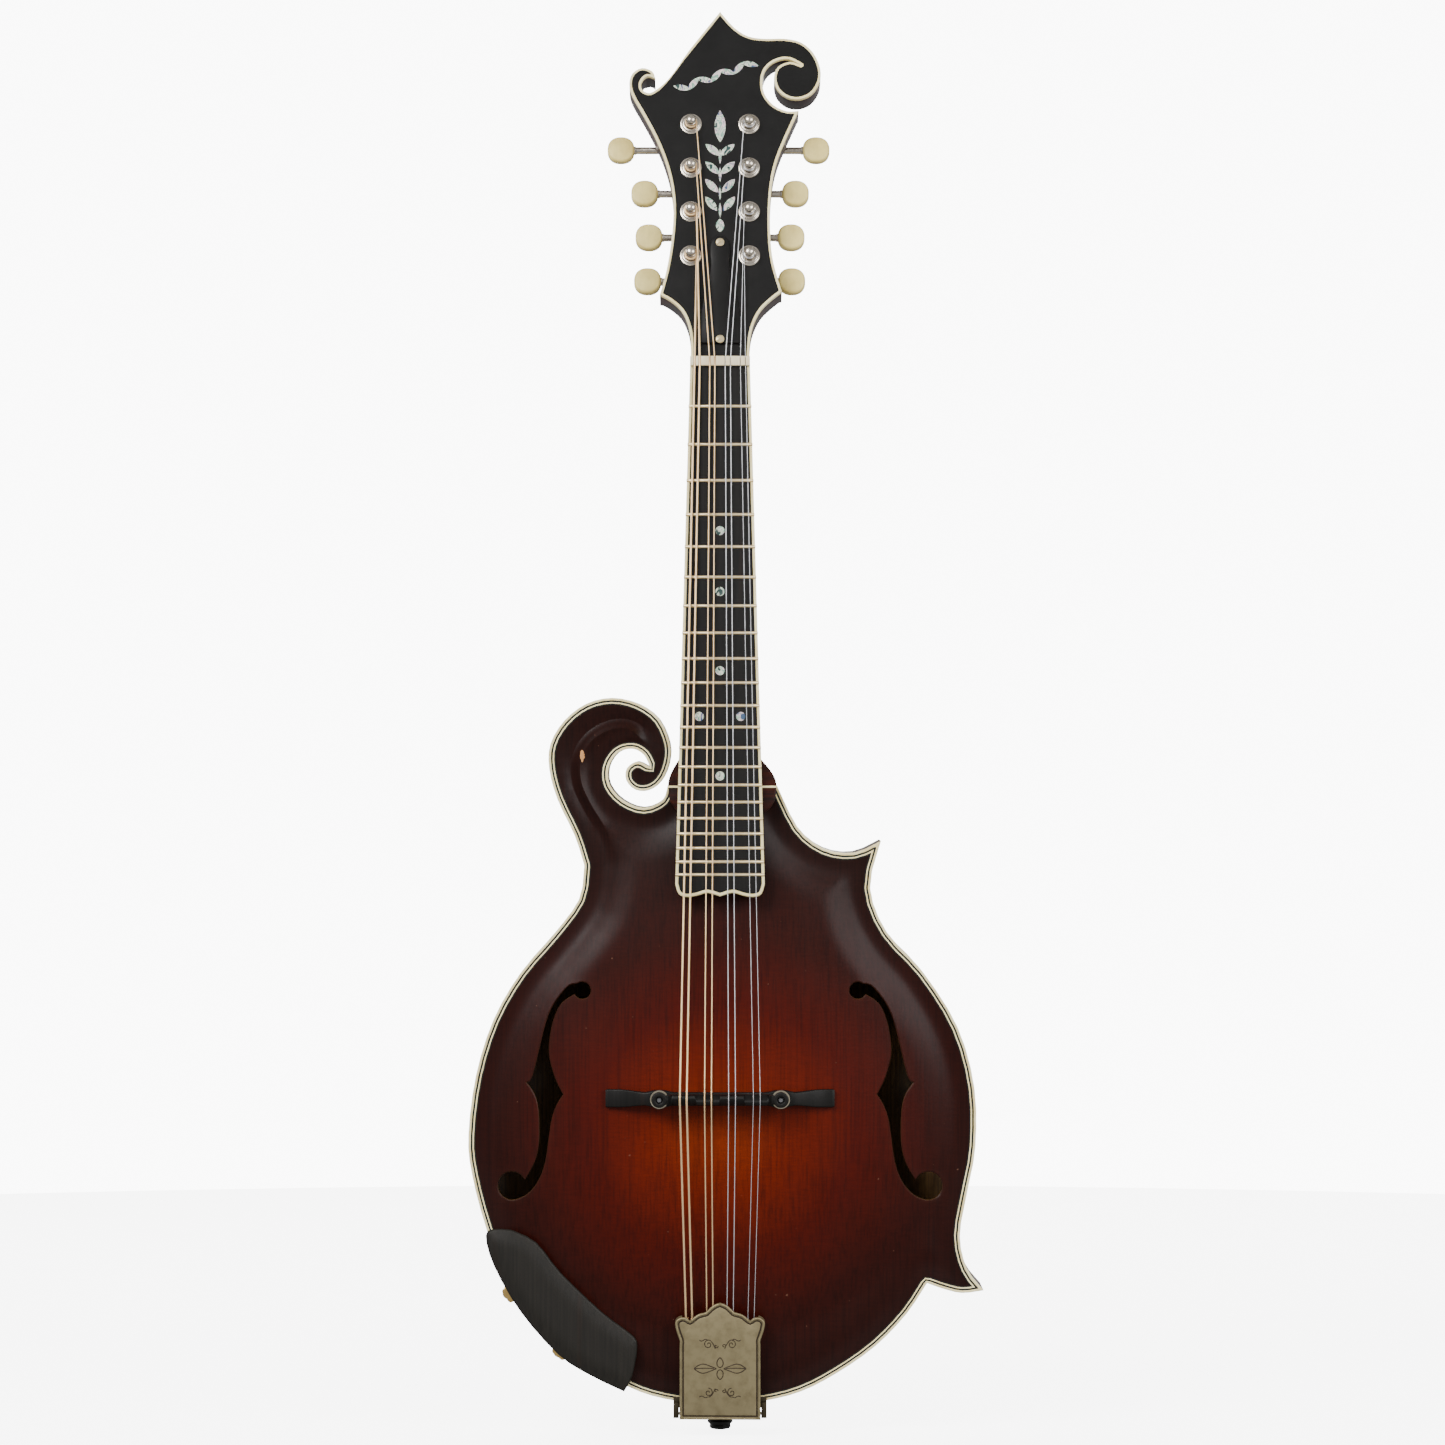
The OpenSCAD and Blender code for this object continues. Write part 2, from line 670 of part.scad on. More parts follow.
module tuner_button(i) {
    reach = button_x[i - 1];
    color("ivory") stand() on_head() translate([side(i) * reach, worm_y(i), worm_h]) difference() {
        translate([0, 0, -button_t / 2]) cylinder(h = button_t, r = button_r);
        rotate([0, -side(i) * 90, 0]) translate([0, 0, -1]) cylinder(h = button_r + 3, r = 1.2);
    }
}

// ---- strings ----

module string(k) {
    r = string_radius(k);
    post = string_post(k);
    over_nut = neck_pt([string_x(k, pair_nut, half_gap[0]), nut_len / 2, nut_lift + r]);
    on_saddle = [string_x(k, pair_bridge, half_gap[1]), bridge_y, saddle_z + r + 0.1];
    at_hook = tail_pt([string_x(k, pair_tail, half_gap[2]), hook_y + 1.4, 3.2]);
    inner = post_x - winding_r - r - 0.15;
    at_post = head_pt([side(post) * inner, post_y(post), row(post) == 3 ? 4.4 : 5.8]);
    wire(over_nut, on_saddle, r);
    wire(on_saddle, at_hook, r);
    wire(over_nut, at_post, r);
    translate(over_nut) sphere(r = bend_ball * r);
    translate(on_saddle) sphere(r = bend_ball * r);
}

module strings_wound() { color("peru") stand() for (k = [0 : 3]) string(k); }
module strings_plain() { color("silver") stand() for (k = [4 : 7]) string(k); }

// ---- bridge ----

module bridge_base() {
    half = [[0, base_top], [stud_x + 5, base_top], [40, 39.6], [54.5, 35], [55.5, 34.2], [55.5, 28]];
    color("black") stand() difference() {
        translate([0, bridge_y + 4.4, 0]) rotate([90, 0, 0]) linear_extrude(8.8)
            polygon(concat(half, flip(half)));
        arch_ball(top_arch);
        translate([0, bridge_y, top_crest - 20]) rotate([90, 0, 0])
            cylinder(h = 20, r = 21.4, center = true);
        for (s = [-1, 1]) translate([s * stud_x, bridge_y, 36]) cylinder(h = 8, r = stud_r);
    }
}

module bridge_studs() {
    color("gold") stand() for (s = [-1, 1]) translate([s * stud_x, bridge_y, 36])
        cylinder(h = 12.8, r = stud_r);
}

module bridge_wheel(s) {
    color("gold") stand() translate([s * stud_x, bridge_y, 0]) difference() {
        slab(wheel_z[0], wheel_z[1]) circle(r = 4.5);
        slab(wheel_z[0] - 1, wheel_z[1] + 1) circle(r = stud_r + 0.06);
    }
}
module bridge_wheel_bass() { bridge_wheel(-1); }
module bridge_wheel_treble() { bridge_wheel(1); }

module bridge_saddle() {
    half = [[0, saddle_z], [23, saddle_z], [25.5, 50.8], [stud_x + 3.2, 50.4], [stud_x + 3.2, saddle_low]];
    color("black") stand() difference() {
        intersection() {
            translate([0, bridge_y + 3.2, 0]) rotate([90, 0, 0]) linear_extrude(6.4)
                polygon(concat(half, flip(half)));
            translate([-40, bridge_y, 0]) rotate([90, 0, 90]) linear_extrude(80) polygon(saddle_side);
        }
        for (s = [-1, 1]) translate([s * stud_x, bridge_y, saddle_low - 1])
            cylinder(h = 8, r = stud_r + 0.06);
    }
}

// ---- tailpiece ----

module cover_shape() {
    tail_end = [[cover_half_w, 33], [cover_half_w, cover_tail_y]];
    right = concat(curve(cover_front), curve(cover_shoulder), curve(cover_horn), tail_end);
    polygon(concat(right, flip(right)));
}

module hinge_rod(r, half) {
    translate([-half, hinge_y, hinge_z]) rotate([0, 90, 0]) cylinder(h = 2 * half, r = r);
}

module tailpiece_base() {
    color("darkkhaki") stand() difference() {
        union() {
            on_tail() block([-16.5, -1.2, 0.1], [16.5, 41, 1.3]);
            on_tail() block([-22.6, -1.2, 0.1], [22.6, 4, 1.3]);
            on_tail() for (x = [-22.6, 20]) block([x, -5.6, 0.1], [x + 2.6, 2, 5.4]);
            block([-14, -1.2, -11], [14, 0, edge_z + 0.7]);
            on_tail() for (k = [0 : 7]) translate([string_x(k, pair_tail, half_gap[2]), hook_y, 1])
                cylinder(h = 4.2, r = 0.9);
        }
        on_tail() hinge_rod(0.8, 30);
        end_pin_hole();
    }
}

module tailpiece_hinge_pin() { color("silver") stand() on_tail() hinge_rod(0.8, 22.6); }

module tailpiece_cover() {
    color("darkkhaki") stand() on_tail() difference() {
        union() {
            difference() {
                slab(cover_z[0], cover_z[1]) cover_shape();
                slab(cover_z[0] - 1, cover_z[1] - cover_t) offset(r = -cover_t, $fn = 24) cover_shape();
                block([-18, 36, 0], [18, 60, cover_z[1] - cover_t]);
            }
            hinge_rod(1.9, cover_half_w);
        }
        hinge_rod(0.85, 30);
    }
}

module end_pin() {
    color("black") stand() rotate([90, 0, 0]) rotate_extrude() polygon([
        [0, -14], [2.8, -14], [2.8, 1.3], [4.4, 1.3], [4.4, 8.9], [6.25, 8.9], [6.25, 11.8],
        [5.2, 11.8], [5.2, 14.3], [0, 14.3]
    ]);
}

// ---- armrest ----

module armrest() {
    color("black") stand() slab(arm_z, arm_z + arm_t) polygon(concat(curve(arm_outer), curve(arm_inner)));
}

// Turnbuckle clamps: barrel and rods beside the rim, with a foot over the top edge and one under the back
module armrest_clamps() {
    color("gold") stand() for (b = barrels) translate([b.x, b.y, 0]) rotate(b.z - 180) {
        slab(-12, 12) circle(r = 3);
        slab(-edge_z - 2.4, arm_z) circle(r = 1.3);
        slab(edge_z + 0.4, arm_z) translate([-1.5, -4]) square([14, 8]);
        slab(-edge_z - 2.4, -edge_z - 0.2) translate([-1.5, -4]) square([14, 8]);
    }
}

top_plate();
back_plate();
rim();
body_binding();
head_block();
rim_blocks();
linings();
tone_bars();
neck();
truss_rod();
fretboard();
fretboard_binding();
frets();
fret_markers();
fretboard_support();
nut();
headplate();
headstock_binding();
headstock_inlay();
truss_rod_cover();
screws();
tuner_plates();
tuner_bushings();
strings_wound();
strings_plain();
bridge_base();
bridge_studs();
bridge_wheel_bass();
bridge_wheel_treble();
bridge_saddle();
tailpiece_base();
tailpiece_hinge_pin();
tailpiece_cover();
end_pin();
armrest();
armrest_clamps();
for (i = TUNERS) {
    tuner_button(i);
    tuner_worm(i);
    tuner_post(i);
}
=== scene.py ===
from math import acos, ceil, copysign, cos, exp, pi, radians, sin, tan

import bmesh
import bpy
import numpy as np
from mathutils import Matrix, Vector
from mathutils.geometry import delaunay_2d_cdt


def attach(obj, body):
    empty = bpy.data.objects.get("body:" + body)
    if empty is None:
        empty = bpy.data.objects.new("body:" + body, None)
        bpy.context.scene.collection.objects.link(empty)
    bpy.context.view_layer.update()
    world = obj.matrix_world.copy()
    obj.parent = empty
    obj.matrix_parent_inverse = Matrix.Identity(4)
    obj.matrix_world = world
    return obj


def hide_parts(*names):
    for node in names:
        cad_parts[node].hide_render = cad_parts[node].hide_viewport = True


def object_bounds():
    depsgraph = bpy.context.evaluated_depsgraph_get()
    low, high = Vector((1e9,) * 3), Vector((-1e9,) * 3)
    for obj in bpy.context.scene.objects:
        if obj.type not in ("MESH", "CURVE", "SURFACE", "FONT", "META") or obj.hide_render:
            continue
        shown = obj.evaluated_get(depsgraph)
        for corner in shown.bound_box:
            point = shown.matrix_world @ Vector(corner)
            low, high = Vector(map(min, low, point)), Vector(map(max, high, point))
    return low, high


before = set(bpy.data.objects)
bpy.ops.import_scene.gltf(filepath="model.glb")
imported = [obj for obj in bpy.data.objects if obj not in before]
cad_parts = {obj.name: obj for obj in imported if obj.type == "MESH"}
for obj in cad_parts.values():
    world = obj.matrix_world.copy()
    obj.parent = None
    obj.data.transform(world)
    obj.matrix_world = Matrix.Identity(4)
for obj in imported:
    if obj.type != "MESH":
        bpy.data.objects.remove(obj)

# An F-style mandolin. Shapes are drawn in millimetres in four local frames and placed in the row frame:
# bench (X across, Y along the neck, Z out of the face), neck, head and tail. Most outlines are cut from
# the CAD nodes themselves, so the looks follow the frame.

cad_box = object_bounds()


# ---- sizes, in mm ----

# Body. The bench's Y = 0 is the tail edge, which is PIN_HEAD above the row frame's origin
PIN_HEAD = 10.35
RIM_HALF = 17.0
RIM_T = 2.2
PLATE_T = 4.0
EDGE_Z = 22.0
TOP_RISE = 12.0
BACK_RISE = 10.0
ARCH_Y = 150.0
ARCH_SPAN = 117.0
ARCH_REACH = 150.0
# Insets of the cream binding's inner side and of the black, white and black lines beside it
EDGE_LINES = [1.3, 2.1, 2.75, 3.4]
# Reach and depth of the rounding at an f-hole's edge
HOLE_REACH = 0.45
HOLE_DROP = 0.35
# Crest of the carved scroll, from its inner end round to where it fades into the top
RIDGE = [(-36, 319), (-39, 324), (-43, 327.3), (-48.7, 328.4), (-56, 326.5), (-62.8, 321.7), (-67.4, 313.5),
         (-67.3, 302.4), (-62.8, 292), (-56.2, 281), (-51.7, 271), (-48.7, 259)]
RIDGE_H = 2.4
RIDGE_ROWS = [0.7, 1.5, 2.4, 3.4, 4.6, 6]
# Neck and headstock. The heel flares from HEEL_Y down to its joint with the body at JOINT_Y
JOINT_Y = 300.5
HEEL_Y = 314.0
NUT_Y = 504.5
NUT_Z = 19.0
NUT_LEN = 4.6
NECK_ANGLE = 4.8
HEAD_PITCH = 12.7
BOARD_T = 5.0
HEAD_T = 12.5
HEADPLATE_T = 2.2
SCALE_LENGTH = 352.4
FRETS = 21
# Tuners: posts 1 to 4 on the bass side and 5 to 8 on the treble side, each row from the tip to the nut
POST_X = 14.3
POST_PITCH = 23.2
POST_FIRST = 52.5
WAIST_R = 2.3
WORM_DROP = 6.0
WORM_H = -17.0
SHAFT_R = 1.48
WORM_PITCH = 1.9
BUTTON_X = [49, 37.2, 35, 35.6, 47.5, 37.2, 35, 35.2]
BUTTON_R = 6.65
# Bridge and tailpiece
BRIDGE_Y = 149.5
SADDLE_Z = 53.0
STUD_X = 29.3
TAIL_SLOPE = 4.0
HOOK_Y = 34.0
HOOK_Z = 3.2
# Strings: radii of the four pairs, then where the pairs are and half the gap within one
STRING_R = [0.51, 0.33, 0.2, 0.14]
AT_NUT = [-11.1, -3.75, 3.75, 11.1], 1.25
AT_BRIDGE = [-17.7, -5.8, 5.8, 17.7], 1.65
AT_TAIL = [-14.8, -4.8, 4.8, 14.8], 1.5


def shifted(x, y, z):
    return Matrix.Translation((x, y, z))


def turned(degrees, axis="X"):
    return Matrix.Rotation(radians(degrees), 4, axis)


def around(count):
    """Evenly spaced angles for a full turn."""
    return np.linspace(0, 2 * pi, count, endpoint=False)


def polar(radius, angle):
    return radius * cos(angle), radius * sin(angle)


def height_of(y):
    """Height in the row frame, in metres, of a place along the bench's Y axis."""
    return (y + PIN_HEAD) * 0.001


BENCH = Matrix.Scale(0.001, 4) @ shifted(0, 0, PIN_HEAD) @ turned(90)
NECK = BENCH @ shifted(0, NUT_Y, NUT_Z) @ turned(-NECK_ANGLE)
HEAD = NECK @ shifted(0, NUT_LEN, -BOARD_T) @ turned(-HEAD_PITCH)
TAIL = BENCH @ shifted(0, 0, EDGE_Z) @ turned(TAIL_SLOPE)
# The bench frame mirrored, so that its Z points out of the back
BACK = BENCH @ Matrix.Scale(-1, 4, (0, 0, 1))


# ---- plane geometry ----

# A bend sharper than this, in degrees, is a corner and stays one
CORNER = 34.0
ENDLESS = 1e9
# Points worked on at a time, to spare memory
BATCH = 2000


def area(loop):
    """Area inside a loop, which is negative for a clockwise one."""
    x, y = np.asarray(loop, float).T
    return 0.5 * float(np.sum(x * np.roll(y, -1) - np.roll(x, -1) * y))


def slice_loops(node, place, level):
    """Outlines where a CAD node crosses level(point) = 0 in a local frame, counter-clockwise and with
    the largest first."""
    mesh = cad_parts[node].data
    mesh.calc_loop_triangles()
    inverse = place.inverted()
    points = [tuple(inverse @ v.co) for v in mesh.vertices]
    links = {}
    for triangle in mesh.loop_triangles:
        corners = [points[i] for i in triangle.vertices]
        cut = []
        for k in range(3):
            a, b = sorted((corners[k], corners[(k + 1) % 3]))
            fa, fb = level(Vector(a)), level(Vector(b))
            if (fa > 0) != (fb > 0):
                p = Vector(a).lerp(Vector(b), fa / (fa - fb))
                cut.append((round(p.x, 4), round(p.y, 4)))
        if len(cut) == 2 and cut[0] != cut[1]:
            links.setdefault(cut[0], []).append(cut[1])
            links.setdefault(cut[1], []).append(cut[0])
    loops = []
    while links:
        here = next(iter(links))
        loop = []
        while here in links:
            loop.append(here)
            there = links[here].pop()
            links[there].remove(here)
            for end in (here, there):
                if end in links and not links[end]:
                    del links[end]
            here = there
        if len(loop) > 2:
            loops.append(loop if area(loop) > 0 else loop[::-1])
    return sorted(loops, key=area, reverse=True)


def flat_slice(node, place, height):
    """Outermost outline of a CAD node at a height in a local frame."""
    return slice_loops(node, place, lambda p: p.z - height)[0]


def turns(points):
    """Angle of each corner of a loop, in degrees."""
    before = points - np.roll(points, 1, 0)
    after = np.roll(points, -1, 0) - points
    angle = np.arctan2(after[:, 1], after[:, 0]) - np.arctan2(before[:, 1], before[:, 0])
    return np.degrees(np.abs((angle + np.pi) % (2 * np.pi) - np.pi))


def hermite(run, step, straight):
    """Points every step or so along a curve through an open run, without its last point. Spans longer
    than straight stay straight."""
    chord = np.diff(run, axis=0)
    length = np.linalg.norm(chord, axis=1)
    slope = chord / length[:, None]
    tangent = np.empty_like(run)
    if len(run) == 2:
        tangent[:] = slope[0]
    else:
        w = length[:-1, None] / (length[:-1] + length[1:])[:, None]
        tangent[1:-1] = slope[:-1] * (1 - w) + slope[1:] * w
        tangent[0] = 2 * slope[0] - tangent[1]
        tangent[-1] = 2 * slope[-1] - tangent[-2]
    for i in np.flatnonzero(length > straight):
        tangent[i:i + 2] = slope[i]
    out = []
    for i, span in enumerate(length):
        start, end = (slope[i], slope[i]) if span > straight else tangent[i:i + 2]
        count = max(1, ceil(span / step))
        for t in np.arange(count) / count:
            out.append((2 * t**3 - 3 * t**2 + 1) * run[i] + (t**3 - 2 * t**2 + t) * span * start
                       + (3 * t**2 - 2 * t**3) * run[i + 1] + (t**3 - t**2) * span * end)
    return out


def smooth(loop, step=1.0, gap=0.35, straight=ENDLESS):
    """A loop as a fine smooth curve that keeps its sharp corners."""
    points = [np.array(loop[0], float)]
    for p in loop[1:]:
        if np.linalg.norm(np.array(p) - points[-1]) > gap:
            points.append(np.array(p, float))
    if np.linalg.norm(points[-1] - points[0]) < gap:
        points.pop()
    points = np.array(points)
    corners = np.flatnonzero(turns(points) > CORNER)
    if len(corners) == 0:
        wrapped = np.vstack((points[-4:], points, points[:5]))
        lead = len(hermite(wrapped[:5], step, straight))
        tail = len(hermite(wrapped[-5:], step, straight))
        return np.array(hermite(wrapped, step, straight)[lead:-tail])
    points = np.roll(points, -corners[0], 0)
    ends = list(corners - corners[0]) + [len(points)]
    closed = np.vstack((points, points[:1]))
    return np.array([q for a, b in zip(ends, ends[1:]) for q in hermite(closed[a:b + 1], step, straight)])


def contour(node, place, height, step, **options):
    """Smoothed outline of a CAD node at a height in a local frame."""
    return smooth(flat_slice(node, place, height), step, **options)


def curve(points, step=1.0):
    """A smooth open curve through points of any dimension."""
    run = np.array(points, float)
    return np.array(hermite(run, step, ENDLESS) + [run[-1]])


def distances(points, loop, closed=True):
    """Distance of each point from a polyline."""
    points = np.asarray(points, float)
    a = np.asarray(loop, float)
    b = np.roll(a, -1, 0)
    if not closed:
        a, b = a[:-1], b[:-1]
    d = b - a
    size = np.maximum((d**2).sum(1), 1e-12)
    out = np.empty(len(points))
    for start in range(0, len(points), BATCH):
        p = points[start:start + BATCH, None, :]
        t = np.clip(((p - a) * d).sum(2) / size, 0, 1)
        out[start:start + BATCH] = np.sqrt((((a + t[..., None] * d) - p)**2).sum(2).min(1))
    return out


def inside(points, loops):
    """True where a point lies inside an odd number of loops."""
    x, y = np.asarray(points, float).T
    odd = np.zeros(len(x), bool)
    for loop in loops:
        a = np.asarray(loop, float)
        for (ax, ay), (bx, by) in zip(a, np.roll(a, -1, 0)):
            if ay != by:
                odd ^= ((ay > y) != (by > y)) & (x < (bx - ax) * (y - ay) / (by - ay) + ax)
    return odd


def normals(points):
    """Unit normals to the left of a loop's direction."""
    along = np.roll(points, -1, 0) - np.roll(points, 1, 0)
    along /= np.maximum(np.linalg.norm(along, axis=1), 1e-9)[:, None]
    return np.stack((-along[:, 1], along[:, 0]), 1)


def inset(loop, depth):
    """A counter-clockwise loop moved inwards, without the parts that would cross themselves."""
    loop = np.asarray(loop, float)
    moved = loop + normals(loop) * depth
    clear = distances(moved, loop) > 0.98 * abs(depth) - 0.005
    return moved[clear & (inside(moved, [loop]) == (depth > 0))]


def fill(loops, extra=()):
    """Points and triangles of the area inside the first loop and outside the others."""
    points = [Vector(p) for loop in loops for p in loop] + [Vector(p) for p in extra]
    edges = []
    start = 0
    for loop in loops:
        edges += [(start + i, start + (i + 1) % len(loop)) for i in range(len(loop))]
        start += len(loop)
    verts, _, faces, *_ = delaunay_2d_cdt(points, edges, [], 0, 1e-5)
    verts = np.array([tuple(v) for v in verts])
    faces = np.array([f for f in faces if len(f) == 3])
    return verts, faces[inside(verts[faces].mean(1), loops)]


def hex_grid(loops, pitch, clear):
    """Points of a triangular grid inside the loops and clear of them."""
    low, high = np.min(loops[0], 0), np.max(loops[0], 0)
    rows = np.arange(low[1], high[1], pitch * 0.866)
    columns = np.arange(low[0], high[0], pitch)
    points = np.array([(x + (k % 2) * pitch / 2, y) for k, y in enumerate(rows) for x in columns])
    points = points[inside(points, loops)]
    for loop in loops:
        points = points[distances(points, loop) > clear]
    return points


# ---- solids ----

class Shape:
    """Points and faces. at() puts them into another frame, and + joins two of them."""

    def __init__(self, points, faces):
        self.points = np.asarray(points, float).reshape(-1, 3)
        self.faces = [tuple(int(i) for i in f) for f in faces]

    def at(self, place):
        m = np.array(place)
        return Shape(self.points @ m[:3, :3].T + m[:3, 3], self.faces)

    def __add__(self, other):
        n = len(self.points)
        moved = [tuple(i + n for i in f) for f in other.faces]
        return Shape(np.vstack((self.points, other.points)), self.faces + moved)


def joined(shapes):
    return sum(shapes[1:], shapes[0])


def prism(loops, low, high, round_low=0.0, round_high=0.0, extra=(), rounds=3):
    """Solid between two heights, which are numbers or functions of plan points, with rounded edges."""
    floor = low if callable(low) else lambda xy: np.full(len(xy), float(low))
    roof = high if callable(high) else lambda xy: np.full(len(xy), float(high))
    loops = [np.asarray(p, float) if (area(p) > 0) == (k == 0) else np.asarray(p, float)[::-1]
             for k, p in enumerate(loops)]
    quarter = np.radians(np.linspace(0, 90, rounds + 1))
    # Rows of the wall, from the bottom up: how far in, floor or roof, and how far above it
    levels = [(0, 0, 0)]
    if round_low:
        levels = [(round_low * (1 - sin(q)), 0, round_low * (1 - cos(q))) for q in quarter]
    if round_high:
        levels += [(round_high * (1 - cos(q)), 1, -round_high * (1 - sin(q))) for q in quarter]
    else:
        levels.append((0, 1, 0))
    total = []
    ends = {0: [], 1: []}
    for loop in loops:
        corners = loop[turns(loop) > CORNER]
        room = np.full(len(loop), ENDLESS)
        if len(corners):
            room = 0.4 * np.min(np.linalg.norm(loop[:, None] - corners[None], axis=2), 1)
        side = normals(loop)
        rings = []
        for depth, top, lift in levels:
            plan = loop + side * np.minimum(depth, room)[:, None]
            z = (roof if top else floor)(loop) + lift
            rings.append(np.column_stack((plan, z)))
        ends[0].append(rings[0])
        ends[1].append(rings[-1])
        n = len(loop)
        faces = [(k * n + i, k * n + (i + 1) % n, (k + 1) * n + (i + 1) % n, (k + 1) * n + i)
                 for k in range(len(rings) - 1) for i in range(n)]
        total.append(Shape(np.vstack(rings), faces))
    for top in (0, 1):
        plans = [ring[:, :2] for ring in ends[top]]
        xy, triangles = fill(plans, extra)
        z = (roof if top else floor)(xy)
        # On the edge itself the height is the wall's own
        known = {(round(p[0], 4), round(p[1], 4)): p[2] for ring in ends[top] for p in ring}
        z = [known.get((round(x, 4), round(y, 4)), h) for (x, y), h in zip(xy, z)]
        total.append(Shape(np.column_stack((xy, z)), triangles if top else triangles[:, ::-1]))
    return joined(total)


def loft(rings, wrap=False):
    """Skin over rings of the same number of points, closed at its ends or, with wrap, on itself."""
    rings = [np.asarray(r, float) for r in rings]
    n = len(rings[0])
    spans = len(rings) if wrap else len(rings) - 1
    faces = []
    for k in range(spans):
        a, b = k * n, (k + 1) % len(rings) * n
        faces += [(a + i, a + (i + 1) % n, b + (i + 1) % n, b + i) for i in range(n)]
    if not wrap:
        faces += [tuple(range(n))[::-1], tuple(range((len(rings) - 1) * n, len(rings) * n))]
    return Shape(np.vstack(rings), faces)


def lathe(profile, steps=40):
    """Solid turned about Z from (radius, height) pairs, from axis to axis or closing on themselves."""
    rings = [[(*polar(r, a), h) for r, h in profile] for a in around(steps)]
    n = len(profile)
    faces = [(k * n + i, ((k + 1) % steps) * n + i, ((k + 1) % steps) * n + i + 1, k * n + i + 1)
             for k in range(steps) for i in range(n - 1)]
    return Shape(np.vstack(rings), faces)


def tube(path, radius, sides=10, closed=False):
    """Round wire along a path, given by points."""
    path = [Vector(p) for p in path]
    count = len(path)
    rings = []
    side = None
    for k, p in enumerate(path):
        if closed:
            ahead = (path[(k + 1) % count] - path[k - 1]).normalized()
        else:
            ahead = (path[min(k + 1, count - 1)] - path[max(k - 1, 0)]).normalized()
        if side is None:
            side = ahead.orthogonal().normalized()
        side = (side - ahead * side.dot(ahead)).normalized()
        up = ahead.cross(side)
        rings.append([p + radius * (cos(a) * side + sin(a) * up) for a in around(sides)])
    return loft(rings, wrap=closed)


def disc(radius, power=2.0, steps=64, centre=(0, 0)):
    """Loop of a circle, or of a squarer superellipse with a higher power."""
    waves = np.array([polar(1, a) for a in around(steps)])
    return centre + radius * np.copysign(np.abs(waves)**(2 / power), waves)


def rectangle(x0, y0, x1, y1, radius=0.4, steps=3):
    """Loop of a rectangle with rounded corners."""
    out = []
    for cx, cy, start in ((x1, y1, 0), (x0, y1, 90), (x0, y0, 180), (x1, y0, 270)):
        mx = cx - radius if cx == x1 else cx + radius
        my = cy - radius if cy == y1 else cy + radius
        for k in range(steps + 1):
            x, y = polar(radius, radians(start + 90 * k / steps))
            out.append((mx + x, my + y))
    return np.array(out)


def in_scene(name, data):
    """A new object, in the scene, of a mesh, lamp or camera."""
    obj = bpy.data.objects.new(name, data)
    bpy.context.scene.collection.objects.link(obj)
    return obj


def piece(name, shape, material, body="instrument", node=None, sharp=38):
    """A finished object from a shape in the row frame. It rides on a body and may stand for a CAD node."""
    bm = bmesh.new()
    verts = [bm.verts.new(p) for p in shape.points]
    for face in shape.faces:
        if len({tuple(np.round(shape.points[i], 8)) for i in face}) > 2:
            try:
                bm.faces.new([verts[i] for i in face])
            except ValueError:
                pass
    bmesh.ops.remove_doubles(bm, verts=bm.verts, dist=2e-7)
    bmesh.ops.dissolve_degenerate(bm, edges=bm.edges, dist=1e-7)
    loose = [v for v in bm.verts if not v.link_faces]
    bmesh.ops.delete(bm, geom=loose, context="VERTS")
    bmesh.ops.recalc_face_normals(bm, faces=bm.faces)
    mesh = bpy.data.meshes.new(name)
    bm.to_mesh(mesh)
    bm.free()
    mesh.shade_smooth()
    mesh.set_sharp_from_angle(angle=radians(sharp))
    mesh.materials.append(material)
    obj = in_scene(name, mesh)
    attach(obj, body)
    if node:
        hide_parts(node)
    return obj


def softened(node, width, material):
    """A copy of a CAD node with its sharp edges rounded, which stands for it."""
    bm = bmesh.new()
    bm.from_mesh(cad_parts[node].data)
    bmesh.ops.remove_doubles(bm, verts=bm.verts, dist=1e-6)
    bmesh.ops.dissolve_limit(bm, angle_limit=radians(1), verts=bm.verts, edges=bm.edges)
    edges = [e for e in bm.edges if len(e.link_faces) == 2 and e.calc_face_angle(0) > radians(30)]
    bmesh.ops.bevel(bm, geom=edges, offset=width * 0.001, segments=2, profile=0.5, affect="EDGES",
                    clamp_overlap=True)
    bmesh.ops.triangulate(bm, faces=[f for f in bm.faces if len(f.verts) > 4])
    shape = Shape([v.co for v in bm.verts], [])
    bm.verts.index_update()
    shape.faces = [tuple(v.index for v in f.verts) for f in bm.faces]
    bm.free()
    piece(node + "_finish", shape, material, node=node, sharp=35)


# ---- materials ----

